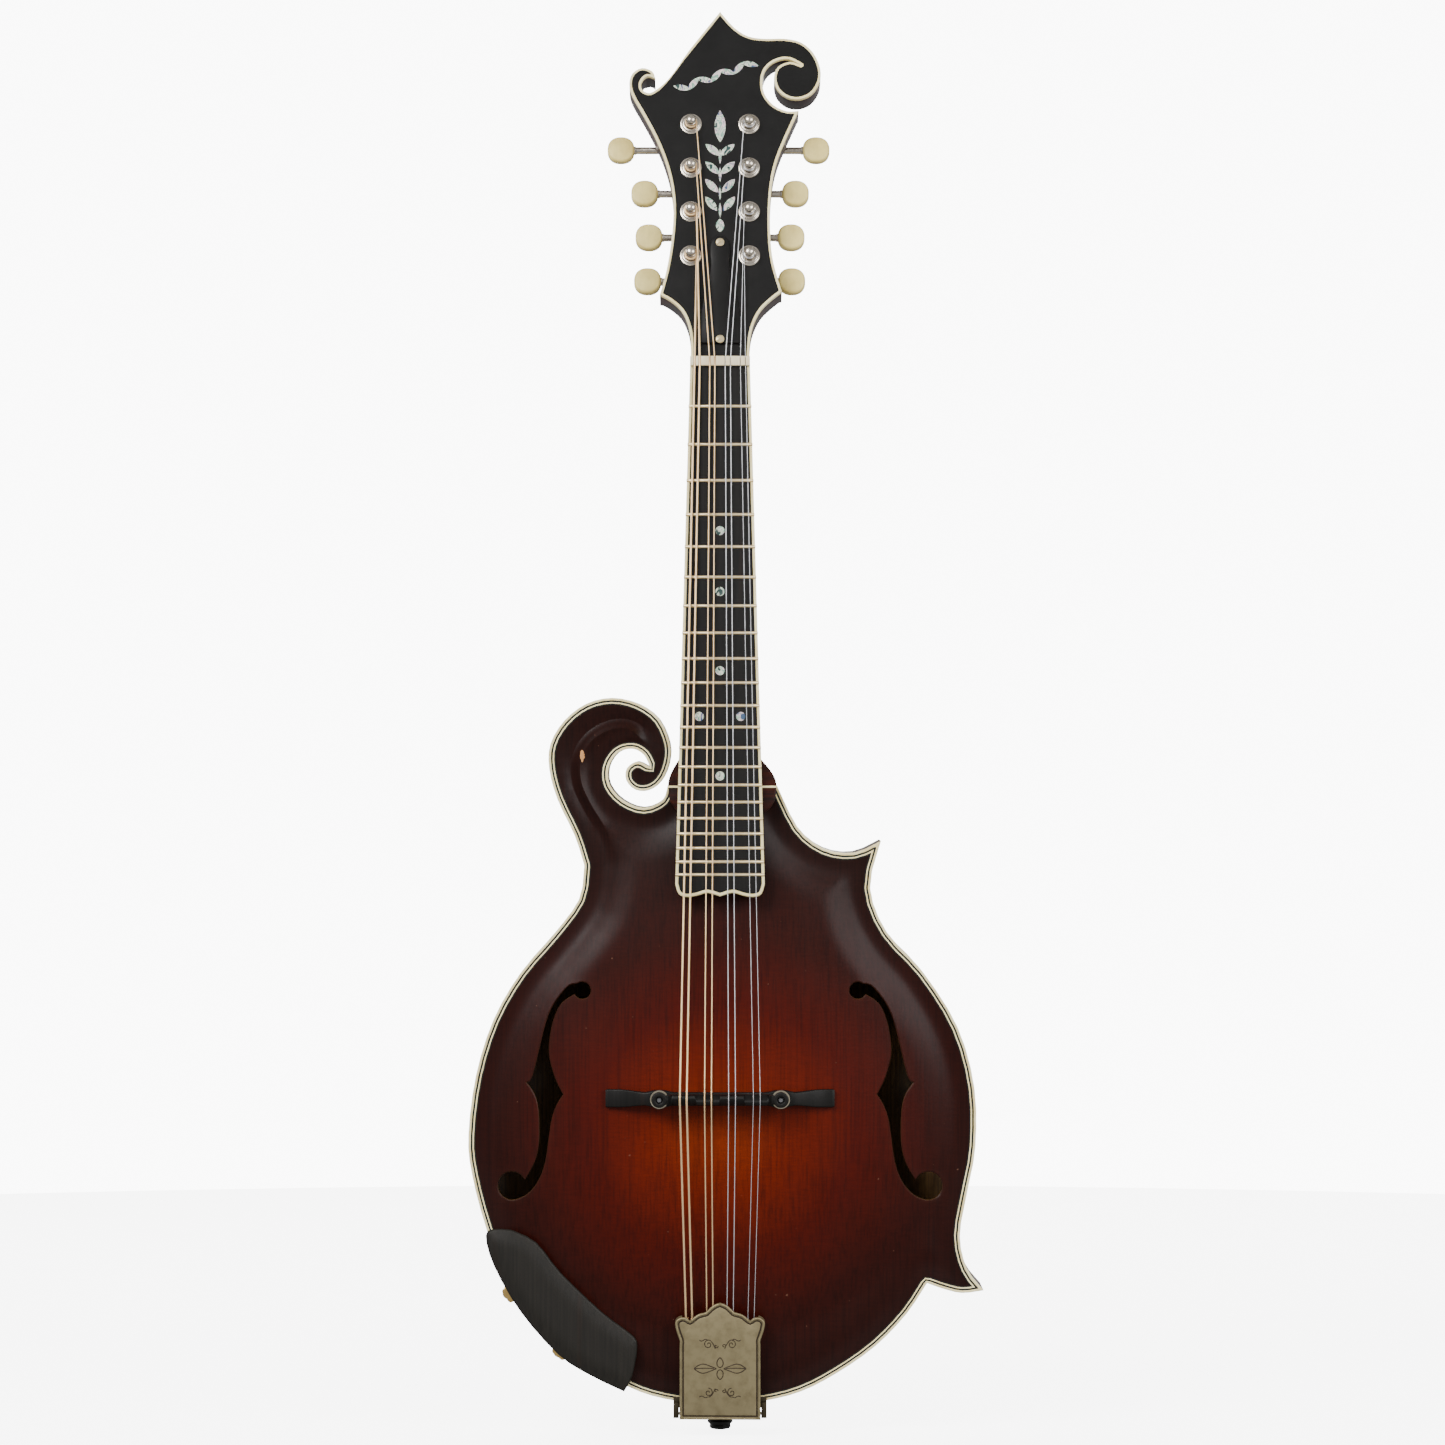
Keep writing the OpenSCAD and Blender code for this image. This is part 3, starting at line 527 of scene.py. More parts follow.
class Paint:
    """A node material. Its methods add nodes and return their output sockets."""

    def __init__(self, name, **fixed):
        self.material = bpy.data.materials.new(name)
        self.material.use_nodes = True
        self.tree = self.material.node_tree
        self.shader = self.tree.nodes["Principled BSDF"]
        for key, value in fixed.items():
            self.shader.inputs[key.replace("_", " ")].default_value = value
        self.place = self.tree.nodes.new("ShaderNodeTexCoord").outputs["Object"]

    def add(self, kind, inputs, **settings):
        """A node. Each input is another node's output or a value."""
        node = self.tree.nodes.new(kind)
        for key, value in settings.items():
            setattr(node, key, value)
        for socket, value in inputs.items():
            if isinstance(value, bpy.types.NodeSocket):
                self.tree.links.new(value, node.inputs[socket])
            else:
                node.inputs[socket].default_value = value
        return node

    def axes(self):
        """The place's X, Y and Z."""
        return self.add("ShaderNodeSeparateXYZ", {"Vector": self.place}).outputs

    def noise(self, scale, detail=3.0, rough=0.55, distortion=0.0):
        """Noise with so many cells in a metre along X, Y and Z, or over a vector of its own."""
        if isinstance(scale, tuple):
            scale = self.add("ShaderNodeMapping", {"Vector": self.place, "Scale": scale}).outputs[0]
        return self.add("ShaderNodeTexNoise", {"Vector": scale, "Scale": 1.0, "Detail": detail,
                                               "Roughness": rough, "Distortion": distortion}).outputs[0]

    def ramp(self, value, *stops):
        node = self.add("ShaderNodeValToRGB", {"Fac": value})
        ramp = node.color_ramp
        while len(ramp.elements) < len(stops):
            ramp.elements.new(0.5)
        for element, (at, colour) in zip(ramp.elements, stops):
            element.position = at
            element.color = (*colour, 1) if isinstance(colour, tuple) else (colour, colour, colour, 1)
        return node.outputs[0]

    def maths(self, operation, a, b=0.0, c=0.0, clamp=False):
        node = self.add("ShaderNodeMath", {0: a, 1: b, 2: c}, operation=operation, use_clamp=clamp)
        return node.outputs[0]

    def mix(self, factor, a, b, mode="MIX"):
        a, b = [(*tone, 1) if isinstance(tone, tuple) else tone for tone in (a, b)]
        # Inputs 6 and 7 and output 2 are the node's colours
        node = self.add("ShaderNodeMix", {0: factor, 6: a, 7: b}, data_type="RGBA", blend_type=mode)
        return node.outputs[2]

    def times(self, tone, factor, amount=1.0):
        """A colour multiplied by another, fully or in part."""
        return self.mix(amount, tone, factor, "MULTIPLY")

    def attribute(self, name):
        return self.add("ShaderNodeAttribute", {}, attribute_name=name).outputs["Fac"]

    def ellipse(self, u, v, middle, size):
        """Squared distance from a middle, where an ellipse of the given half sizes is at 1."""
        terms = [self.maths("POWER", self.maths("DIVIDE", self.maths("SUBTRACT", w, m), r), 2)
                 for w, m, r in zip((u, v), middle, size)]
        return self.maths("ADD", *terms)

    def bare_inside(self, tone):
        """Swaps a lacquer colour for unfinished wood where the mesh is marked as bare."""
        grain = self.noise((700, 700, 18), 4, 0.6)
        wood = self.ramp(grain, (0.3, rgb(92, 64, 34)), (0.7, rgb(130, 98, 58)))
        return self.mix(self.attribute("bare"), tone, wood)

    def finish(self, tone, rough, low, high, height=None, strength=0.0, depth_mm=0.0):
        """The material, with its colour, a roughness between low and high, and fine relief if any."""
        spread = self.add("ShaderNodeMapRange", {"Value": rough, "To Min": low, "To Max": high})
        self.tree.links.new(tone, self.shader.inputs["Base Color"])
        self.tree.links.new(spread.outputs[0], self.shader.inputs["Roughness"])
        if height is not None:
            relief = {"Height": height, "Strength": strength, "Distance": depth_mm * 0.001}
            self.tree.links.new(self.add("ShaderNodeBump", relief).outputs[0], self.shader.inputs["Normal"])
        return self.material


def rgb(r, g, b):
    """Linear colour from 0 to 255 screen values."""
    return tuple(((c / 255 + 0.055) / 1.055)**2.4 if c > 10 else c / 255 / 12.92 for c in (r, g, b))


def spruce():
    """Sunburst lacquer over spruce: upright grain, orange-red middle, near-black edges, one old chip."""
    p = Paint("spruce_sunburst", Coat_Weight=0.07, Coat_Roughness=0.28, Specular_IOR_Level=0.1)
    x, y, z = p.axes()
    wander = p.maths("MULTIPLY_ADD", p.noise((14, 14, 9), 2), 0.30, -0.15)
    far = p.maths("ADD", p.maths("SQRT", p.ellipse(x, z, (0.0, height_of(134)), (0.098, 0.092))), wander)
    burst = p.ramp(p.maths("MULTIPLY", far, 0.5, clamp=True), (0.0, rgb(118, 36, 1)), (0.15, rgb(98, 23, 1)),
                   (0.33, rgb(68, 11, 2)), (0.52, rgb(47, 11, 5)), (0.75, rgb(38, 14, 9)))
    shade = p.ramp(p.maths("DIVIDE", p.attribute("edge_mm"), 45.0, clamp=True), (0.0, 0.62), (0.35, 0.8),
                   (1.0, 1.0))
    grain = p.noise((900, 900, 11), 4, 0.65)
    rays = p.noise((160, 160, 1100), 2, 0.6)
    lines = p.ramp(grain, (0.32, 0.62), (0.56, 1.0))
    silk = p.ramp(rays, (0.35, 0.88), (0.65, 1.08))
    tone = p.times(p.times(p.times(burst, shade), lines), silk, 0.8)
    ragged = p.maths("MULTIPLY", p.noise((700, 700, 330), 2), 1.8)
    chip = p.maths("ADD", p.ellipse(x, z, (-0.0668, height_of(314.8)), (0.0013, 0.0036)), ragged)
    bare = p.maths("LESS_THAN", chip, 1.6)
    front = p.maths("LESS_THAN", y, -0.01)
    tone = p.mix(p.maths("MULTIPLY", bare, front), tone, rgb(196, 142, 92))
    specks = p.ramp(p.noise((420, 420, 420), 1), (0.80, 0.0), (0.83, 1.0))
    tone = p.mix(p.maths("MULTIPLY", specks, 0.5), tone, rgb(120, 84, 66))
    # Lightens the colour at the f-holes' top edges: partly worn lacquer, partly a painted highlight on the
    # rounded edge
    tone = p.mix(p.maths("MULTIPLY", p.attribute("worn"), 0.3, clamp=True), tone, rgb(80, 56, 42))
    return p.finish(p.bare_inside(tone), p.noise((60, 60, 30), 4), 0.30, 0.52, grain, 0.5, 0.05)


def maple(name="maple_dark", upright=True):
    """Dark red-brown lacquer over maple, with flame across the grain."""
    p = Paint(name, Coat_Weight=0.12, Coat_Roughness=0.22, Specular_IOR_Level=0.12)
    warp = p.noise((30, 30, 20), 3)
    flame = p.noise((18, 18, 260) if upright else (190, 190, 14), 2, 0.5, 1.2)
    pores = p.noise((1400, 1400, 90), 3, 0.6)
    tone = p.ramp(flame, (0.30, rgb(26, 9, 6)), (0.50, rgb(42, 13, 7)), (0.70, rgb(58, 19, 8)))
    tone = p.times(tone, p.ramp(warp, (0.3, 0.72), (0.7, 1.1)))
    tone = p.times(tone, p.ramp(pores, (0.35, 0.7), (0.6, 1.05)), 0.6)
    return p.finish(p.bare_inside(tone), p.noise((70, 70, 40), 4), 0.26, 0.46, pores, 0.35, 0.04)


def maple_back():
    """The back's maple: bookmatched flame and a sunburst that darkens to the edge."""
    p = Paint("maple_back", Coat_Weight=0.2, Coat_Roughness=0.18, Specular_IOR_Level=0.15)
    x, _, z = p.axes()
    mirrored = p.maths("ABSOLUTE", x)
    lean = p.maths("MULTIPLY_ADD", mirrored, 0.35, z)
    place = p.add("ShaderNodeCombineXYZ", {"X": p.maths("MULTIPLY", mirrored, 24), "Y": 0.0,
                                           "Z": p.maths("MULTIPLY", lean, 230)}).outputs[0]
    flame = p.noise(place, 2, 0.5, 0.8)
    pores = p.noise((1400, 1400, 80), 3)
    far = p.maths("SQRT", p.ellipse(x, z, (0.0, height_of(150)), (0.095, 0.125)))
    burst = p.ramp(p.maths("MULTIPLY", far, 0.55, clamp=True), (0.0, rgb(118, 50, 12)),
                   (0.25, rgb(92, 30, 9)), (0.5, rgb(54, 15, 7)), (0.8, rgb(30, 10, 7)))
    tone = p.times(burst, p.ramp(flame, (0.32, 0.5), (0.66, 1.25)))
    tone = p.times(tone, p.ramp(pores, (0.35, 0.75), (0.6, 1.05)), 0.6)
    return p.finish(p.bare_inside(tone), p.noise((70, 70, 40), 4), 0.22, 0.42, pores, 0.3, 0.04)


def raw_wood(name, dark, light):
    """Unfinished wood or cork: fine grain and darker blotches."""
    p = Paint(name, Specular_IOR_Level=0.3)
    grain = p.noise((700, 700, 18), 4, 0.6)
    blotch = p.noise((60, 60, 30), 3)
    tone = p.times(p.ramp(grain, (0.3, dark), (0.7, light)), p.ramp(blotch, (0.3, 0.75), (0.7, 1.0)), 0.5)
    return p.finish(tone, grain, 0.65, 0.85, grain, 0.4, 0.08)


def ebony(name, dark, light, low, high):
    """Ebony: near-black, fine grain, a few brown streaks."""
    p = Paint(name, Specular_IOR_Level=0.2)
    grain = p.noise((800, 800, 16), 4, 0.6)
    streak = p.ramp(p.noise((90, 90, 5), 2), (0.62, 0.0), (0.72, 1.0))
    tone = p.ramp(grain, (0.3, dark), (0.7, light))
    tone = p.mix(p.maths("MULTIPLY", streak, 0.35), tone, rgb(38, 25, 18))
    return p.finish(tone, p.noise((120, 120, 60), 4), low, high, grain, 0.35, 0.05)


def lacquer(name, colour, low, high):
    """Opaque lacquer with a pale haze and polishing marks."""
    p = Paint(name, Coat_Weight=0.1, Coat_Roughness=0.2, Specular_IOR_Level=0.15)
    haze = p.noise((90, 90, 90), 4)
    marks = p.noise((300, 300, 2400), 2, 0.6)
    pale = tuple(c * 1.9 + 0.004 for c in colour)
    tone = p.mix(p.ramp(haze, (0.35, 0.0), (0.75, 0.35)), colour, pale)
    return p.finish(tone, marks, low, high, haze, 0.15, 0.05)


def celluloid(name, colour, stain, low=0.3, high=0.5, streaks=900):
    """Aged ivory-coloured plastic: faint parallel grain and yellowed patches."""
    p = Paint(name, Specular_IOR_Level=0.45, Subsurface_Weight=0.06,
              Subsurface_Radius=(0.002, 0.0015, 0.001))
    patches = p.noise((80, 80, 80), 4)
    lines = p.noise((streaks, streaks, 25), 3)
    tone = p.mix(p.ramp(patches, (0.38, 0.0), (0.75, 0.85)), colour, stain)
    tone = p.times(tone, p.ramp(lines, (0.3, 0.86), (0.6, 1.02)), 0.5)
    return p.finish(tone, patches, low, high, lines, 0.2, 0.03)


def pearl():
    """Abalone shell: patches of green, pink and silver that shift from cell to cell."""
    p = Paint("pearl", Coat_Weight=0.8, Coat_Roughness=0.06, Specular_IOR_Level=0.7)
    swirl = p.noise((210, 210, 150), 2, 0.5, 1.2)
    tone = p.ramp(swirl, (0.36, rgb(40, 66, 62)), (0.44, rgb(226, 232, 212)), (0.50, rgb(96, 150, 130)),
                  (0.55, rgb(238, 216, 214)), (0.64, rgb(60, 84, 112)))
    return p.finish(tone, swirl, 0.12, 0.3, swirl, 0.15, 0.05)


def metal(name, colour, tarnish, low, high, brushed=(200, 200, 200), metallic=1.0, dirt=0.5):
    """Plated or bare metal with tarnish in patches, wipe marks and fine wear."""
    p = Paint(name, Metallic=metallic)
    patches = p.noise((220, 220, 220), 5, 0.6)
    marks = p.noise(brushed, 3, 0.6)
    return p.finish(p.mix(p.ramp(patches, (0.42, 0.0), (0.78, dirt)), colour, tarnish),
                    marks, low, high, marks, 0.2, 0.02)


def wire(name, colour, pitch, ridge_strength):
    """String wire: fine winding ridges across the string."""
    p = Paint(name, Metallic=0.6)
    ridges = p.add("ShaderNodeTexWave", {"Vector": p.place, "Scale": 1.0 / pitch, "Distortion": 0.0},
                   bands_direction="Z").outputs[1]
    stains = p.noise((200, 200, 40), 3)
    return p.finish(p.mix(p.ramp(stains, (0.4, 0.0), (0.8, 0.5)), colour, tuple(0.55 * c for c in colour)),
                    stains, 0.24, 0.42, ridges, ridge_strength, 0.04)


def floor_paint():
    p = Paint("floor_pale", Specular_IOR_Level=0.1)
    cloud = p.noise((3, 3, 3), 2)
    p.shader.inputs["Emission Color"].default_value = (1, 1, 1, 1)
    p.shader.inputs["Emission Strength"].default_value = 6.0
    return p.finish(p.ramp(cloud, (0.3, 0.86), (0.7, 0.9)), cloud, 0.8, 0.95)


TOP = spruce()
MAPLE = maple()
MAPLE_RIM = maple("maple_rim", upright=False)
MAPLE_BACK = maple_back()
INNER = raw_wood("inner_wood", rgb(84, 58, 34), rgb(124, 92, 58))
INNER_DARK = raw_wood("inner_dark", rgb(44, 30, 20), rgb(70, 50, 34))
EBONY = ebony("ebony", rgb(9, 8, 7), rgb(18, 16, 14), 0.38, 0.55)
ARM_EBONY = ebony("armrest_ebony", rgb(26, 24, 21), rgb(35, 32, 28), 0.42, 0.6)
BLACK = lacquer("headplate_black", rgb(12, 11, 10), 0.34, 0.5)
BLACK_LINE = celluloid("black_line", rgb(5, 4, 4), rgb(9, 8, 7))
IVORY = celluloid("ivory_binding", rgb(250, 238, 184), rgb(232, 208, 140))
BONE = celluloid("bone", rgb(236, 224, 190), rgb(206, 180, 132), streaks=300)
BUTTONS = celluloid("button_ivory", rgb(234, 214, 134), rgb(196, 172, 96), 0.32, 0.5, streaks=500)
PEARL = pearl()
NICKEL = metal("nickel", rgb(205, 196, 182), rgb(130, 112, 92), 0.16, 0.34)
FRET = metal("fret_metal", rgb(244, 222, 176), rgb(190, 160, 108), 0.25, 0.4, metallic=0.75)
KHAKI = metal("tailpiece_nickel", rgb(142, 130, 98), rgb(100, 88, 60), 0.42, 0.6, (40, 40, 1800), 0.7, 0.6)
# The tailpiece base's dark colour is partly tarnish and partly painted shade from the cover above it
TARNISH_AND_SHADE = metal("tailpiece_tarnish_and_painted_shade", rgb(66, 58, 42), rgb(34, 30, 22), 0.5, 0.7, metallic=0.7)
ENGRAVED = metal("engraved_dark", rgb(46, 31, 10), rgb(28, 19, 7), 0.6, 0.8, metallic=0.2)
GOLD = metal("gold_plate", rgb(222, 186, 116), rgb(150, 112, 60), 0.16, 0.32)
WHEEL = metal("wheel_metal", rgb(206, 198, 176), rgb(120, 100, 64), 0.2, 0.4)
BRASS = metal("screw_brass", rgb(206, 190, 150), rgb(120, 100, 66), 0.25, 0.45)
BRONZE = wire("bronze_wire", rgb(244, 208, 158), 0.0004, 0.35)
STEEL = wire("steel_wire", rgb(226, 226, 230), 0.0003, 0.1)
ROD = metal("rod_steel", rgb(120, 120, 122), rgb(84, 76, 68), 0.4, 0.6)
CORK = raw_wood("cork", rgb(120, 84, 52), rgb(176, 134, 92))


# ---- body ----

outline = contour("body_binding", BENCH, EDGE_Z - 2, 1.3)
plate_edge = inset(outline, EDGE_LINES[-1])
ridge = curve(RIDGE, 1.0)


def ease(t):
    """Smooth step from 0 to 1."""
    t = np.clip(t, 0, 1)
    return t * t * (3 - 2 * t)


def scroll_ridge(xy):
    """Height that the carved scroll adds: a crest with a steep scoop outside it and a slow slope inside."""
    nearest = np.empty(len(xy), int)
    for start in range(0, len(xy), BATCH):
        gap = np.linalg.norm(xy[start:start + BATCH, None] - ridge[None], axis=2)
        nearest[start:start + BATCH] = gap.argmin(1)
    along = np.gradient(ridge, axis=0)[nearest]
    apart = xy - ridge[nearest]
    inner = along[:, 0] * apart[:, 1] - along[:, 1] * apart[:, 0] > 0
    away = distances(xy, ridge, closed=False)
    part = nearest / (len(ridge) - 1)
    fade = ease(part / 0.12) * ease((1 - part) / 0.45)
    reach = np.where(inner, 13.0, 4.6)
    scoop = np.where(inner, 0, 0.7 * np.exp(-((away - 4.6) / 1.9)**2))
    return fade * (RIDGE_H * np.clip(1 - away / reach, 0, 1)**1.8 - scoop)


def ridge_rows():
    """Points on and beside the scroll's crest, where the surface bends most."""
    along = np.gradient(ridge, axis=0)
    along /= np.linalg.norm(along, axis=1)[:, None]
    across = np.column_stack((-along[:, 1], along[:, 0]))
    kept = [ridge]
    for away in RIDGE_ROWS:
        for s in (-1, 1):
            beside = ridge + s * away * across
            clear = distances(beside, ridge, closed=False) > 0.97 * away
            kept.append(beside[clear & inside(beside, [plate_edge]) & (distances(beside, plate_edge) > 1)])
    return list(np.vstack(kept))


def plate_height(rise):
    """Outer surface of an arched plate, as a function of plan points."""
    def height(xy):
        x, y = xy[:, 0], xy[:, 1] - ARCH_Y
        reach = np.where(y > 0, ARCH_REACH, ARCH_SPAN)
        swell = np.clip(1 - (x / ARCH_SPAN)**2 - (y / reach)**2, 0, 1)
        edge = distances(xy, outline)
        recurve = 0.8 * np.exp(-((edge - 10) / 4.5)**2)
        return EDGE_Z + rise * swell * ease(edge / 26) - recurve + scroll_ridge(xy) * ease((edge - 2) / 4)
    return height


def plate_under(outer):
    """Inner surface of an arched plate: flat where it is glued, then parallel to the outer one."""
    def height(xy):
        edge = distances(xy, outline)
        band = ease((edge - 9) / 3)
        return RIM_HALF * (1 - band) + (outer(xy) - PLATE_T) * band
    return height


def is_f_hole(loop):
    """True for an outline of an f-hole's size beside the bridge."""
    return 300 < area(loop) < 3000 and abs(np.mean(loop, 0)[1] - 155) < 30


def inner_grid(holes, pitch):
    """Mesh points inside an arched plate that leave room for the rows beside the scroll's crest."""
    grid = hex_grid([plate_edge] + holes, pitch, 1.6)
    return list(grid[distances(grid, ridge, closed=False) > RIDGE_ROWS[-1] + 0.8])


def carved_top():
    """The top. Its f-holes are cut from the CAD plate, a spherical cap, half way through its thickness."""
    cap_r = (ARCH_SPAN**2 + TOP_RISE**2) / (2 * TOP_RISE)
    middle = Vector((0, ARCH_Y, EDGE_Z + TOP_RISE - cap_r))
    cuts = slice_loops("top_plate", BENCH, lambda p: (p - middle).length - cap_r + PLATE_T / 2)
    f_holes = [smooth(loop, 0.9) for loop in cuts if is_f_hole(loop)]
    lip = [hole - normals(hole) * HOLE_REACH for hole in f_holes]
    lip = [q for loop in lip for q in loop]
    top_z = plate_height(TOP_RISE)

    def top_edge(xy):
        """The top's surface, eased down where an f-hole's edge is rounded over."""
        z = top_z(xy)
        for hole in f_holes:
            z -= HOLE_DROP * np.clip(1 - distances(xy, hole) / HOLE_REACH, 0, 1)**2
        return z

    extra = inner_grid(f_holes, 3.0) + lip + ridge_rows()
    shape = prism([plate_edge] + f_holes, plate_under(top_z), top_edge, extra=extra)
    top = piece("top_carved", shape.at(BENCH), TOP, node="top_plate", sharp=24)
    plan, height = local_points(top, BENCH)
    paint_attribute(top, "edge_mm", distances(plan, outline))
    near = np.min([distances(plan, hole) for hole in f_holes], 0)
    # Marks the f-holes' top edges for lightening: partly wear, partly a painted highlight
    paint_attribute(top, "worn", np.clip(1 - near / 0.5, 0, 1) * (height > top_z(plan) - 0.8))
    paint_attribute(top, "bare", height < top_z(plan) - 2)


def carved_back():
    back_z = plate_height(BACK_RISE)
    shape = prism([plate_edge], plate_under(back_z), back_z, extra=inner_grid([], 3.4) + ridge_rows())
    back = piece("back_carved", shape.at(BACK), MAPLE_BACK, node="back_plate", sharp=24)
    plan, height = local_points(back, BACK)
    paint_attribute(back, "bare", height < back_z(plan) - 2)


def rim_and_binding():
    shape = prism([outline, inset(outline, RIM_T)], -RIM_HALF, RIM_HALF)
    rim = piece("rim_bent", shape.at(BENCH), MAPLE_RIM, node="rim")
    plan, _ = local_points(rim, BENCH)
    paint_attribute(rim, "bare", distances(plan, outline) > 1)
    bounds = [outline] + [inset(outline, d) for d in EDGE_LINES]
    names = ["binding", "line_black_outer", "line_white", "line_black_inner"]
    paints = [IVORY, BLACK_LINE, IVORY, BLACK_LINE]
    for k, (name, paint) in enumerate(zip(names, paints)):
        ring = prism([bounds[k], bounds[k + 1]], RIM_HALF, EDGE_Z + 0.03, round_high=0.35 if k == 0 else 0.0)
        both = ring.at(BENCH) + ring.at(BACK)
        piece("body_" + name, both, paint, node="body_binding" if k == 0 else None)


def local_points(obj, place):
    """Plan points and heights of an object's vertices in a local frame."""
    inverse = place.inverted()
    points = np.array([inverse @ v.co for v in obj.data.vertices])
    return points[:, :2], points[:, 2]


def paint_attribute(obj, name, values):
    layer = obj.data.attributes.new(name, "FLOAT", "POINT")
    layer.data.foreach_set("value", np.asarray(values, np.float32))


def board_under(xy):
    """Height of the fretboard's underside over the body."""
    slope = radians(NECK_ANGLE)
    return NUT_Z + (NUT_Y - xy[:, 1]) * tan(slope) - BOARD_T / cos(slope)


def neck_joint():
    support = contour("fretboard_support", BENCH, EDGE_Z + 2, 0.8)
    shape = prism([support], EDGE_Z - 1, lambda xy: board_under(xy) - 0.02, round_high=0.6)
    piece("fretboard_support_shaped", shape.at(BENCH), MAPLE, node="fretboard_support")
    strip = rectangle(-25.4, JOINT_Y - 0.9, 27.6, JOINT_Y + 0.1, 0.3)
    shape = prism([strip], EDGE_Z - 1, lambda xy: board_under(xy) + 0.05, round_high=0.2)
    piece("joint_strip", shape.at(BENCH), IVORY)


# ---- neck and headstock ----

# Points in each section of the neck
NECK_POINTS = 36


def outer_run(band):
    """The outer side of a band that is open along y = 0 and runs round above it."""
    points = np.array(band)
    first = np.argmin(10 * points[:, 1] - points[:, 0])
    last = np.argmin(10 * points[:, 1] + points[:, 0])
    return np.roll(points, -first, 0)[:(last - first) % len(points) + 1]


def board_half(y):
    """Half the fretboard's width. Y is 0 at the nut and negative towards the body."""
    return 14.6 - 7.0 * y / 258


def oval(y, half, depth):
    """Neck section in the neck frame: flat on top, rounded below."""
    ring = []
    for a in np.linspace(pi, 2 * pi, NECK_POINTS):
        c, s = cos(a), sin(a)
        ring.append((half * copysign(abs(c)**0.87, c), y, -BOARD_T - depth * abs(s)**0.87))
    return ring


def neck():
    heel_top = (NUT_Y - HEEL_Y) / cos(radians(NECK_ANGLE))
    heel = curve([(-25.2, 31), (-24.6, 20), (-19.5, 4), (-13, -12), (-8.5, -20.2), (0, -21.2), (8.5, -20.2),
                  (13, -12), (20, 4), (26.4, 20), (27.4, 31)], 0.5)
    heel = heel[np.linspace(0, len(heel) - 1, NECK_POINTS).astype(int)]
    rings = []
    for y in np.linspace(-heel_top, NUT_LEN, 30):
        part = (y + heel_top) / (heel_top + NUT_LEN)
        ring = oval(y, board_half(y) - 0.03 if y < 0 else 14.3, 16 - 3.5 * part)
        rings.append([NECK @ Vector(p) for p in ring])
    start = rings[0]
    face = [BENCH @ Vector((x, JOINT_Y, z)) for x, z in heel]
    # From there to the joint the heel swells in width sooner than in depth
    for t in np.linspace(0, 1, 12)[1:]:
        out = sin(t * pi / 2)
        deep = 1 - cos(t * pi / 2)
        ring = []
        for a, b in zip(start, face):
            q = a.lerp(b, t)
            q.x = a.x + (b.x - a.x) * out
            q.y = a.y + (b.y - a.y) * (0.35 * out + 0.65 * deep)
            ring.append(q)
        rings.insert(0, ring)
    # The neck's back runs on under the headstock and dies away there
    for y, half, depth in ((3, 14.2, 12.9), (8, 13.8, 13.4), (13, 12.4, 13.6), (18, 10, 13.3),
                           (23, 6.5, 12.7), (27, 3, 11.5)):
        rings.append([HEAD @ (Vector(p) + Vector((0, 0, BOARD_T - 0.05))) for p in oval(y, half, depth)])
    piece("neck_carved", loft(rings), MAPLE)


def headstock():
    band = flat_slice("headstock_binding", HEAD, 1)
    head = smooth(outer_run(band), 0.9)
    core = prism([head], -HEAD_T, 0, round_low=1.6).at(HEAD)
    piece("headstock_core", core, MAPLE, node="neck")
    edge = prism([smooth(band, 0.9)], 0, HEADPLATE_T, round_high=0.35).at(HEAD)
    piece("headstock_edge", edge, IVORY, node="headstock_binding")
    plate = prism([contour("headplate", HEAD, 1, 0.9)], 0, HEADPLATE_T - 0.03).at(HEAD)
    piece("headplate_lacquered", plate, BLACK, node="headplate")
    cover = contour("truss_rod_cover", HEAD, HEADPLATE_T + 0.7, 0.7)
    shape = prism([cover], HEADPLATE_T, HEADPLATE_T + 1.5, round_high=0.5)
    piece("truss_cover_shaped", shape.at(HEAD), BLACK, node="truss_rod_cover")


def fingerboard():
    band = contour("fretboard_binding", NECK, -2, 0.8, gap=0.2, straight=13)
    wood = contour("fretboard", NECK, -4, 0.8, gap=0.2, straight=13)
    piece("board_ebony", prism([wood], -BOARD_T, -0.03).at(NECK), EBONY, node="fretboard")
    piece("board_binding", prism([band], -BOARD_T, -0.02, round_high=0.4).at(NECK), IVORY,
          node="fretboard_binding")
    crowns = []
    for n in range(1, FRETS + 1):
        y = -SCALE_LENGTH * (1 - 2**(-n / 12))
        half = board_half(y) + 0.22
        rings = []
        for x, size in ((-half, 0.45), (-half + 0.12, 0.75), (-half + 0.45, 1), (half - 0.45, 1),
                        (half - 0.12, 0.75), (half, 0.45)):
            rings.append([(x, y + 0.78 * size**0.3 * cos(a), max(-0.1, 0.98 * size * sin(a)))
                          for a in np.linspace(-0.15, pi + 0.15, 12)])
        crowns.append(loft(rings))
    piece("fret_crowns", joined(crowns).at(NECK), FRET, node="frets")


# ---- tuners ----

def side(i):
    """-1 for a post on the bass side and 1 on the treble side."""
    return -1 if i <= 4 else 1


def row(i):
    """0 for the post nearest the tip to 3 for the one next to the nut."""
    return (i - 1) % 4


def post_y(i):
    return POST_FIRST + POST_PITCH * (3 - row(i))


def string_of_post(i):
    """String 0 to 7, bass to treble, that goes to post i."""
    return 4 - i if i <= 4 else i - 1


def string_height(i):
    """Height at which a string meets post i, in the head frame. The posts next to the nut are lower."""
    return 4.4 if row(i) == 3 else 5.8


def helix(radius, start, climb, turns_made, phase, hand=1, per_turn=20):
    """Points of a coil about Z."""
    last = int(per_turn * turns_made)
    return [(*polar(radius, phase + hand * 2 * pi * turns_made * k / last), start + climb * k / last)
            for k in range(last + 1)]


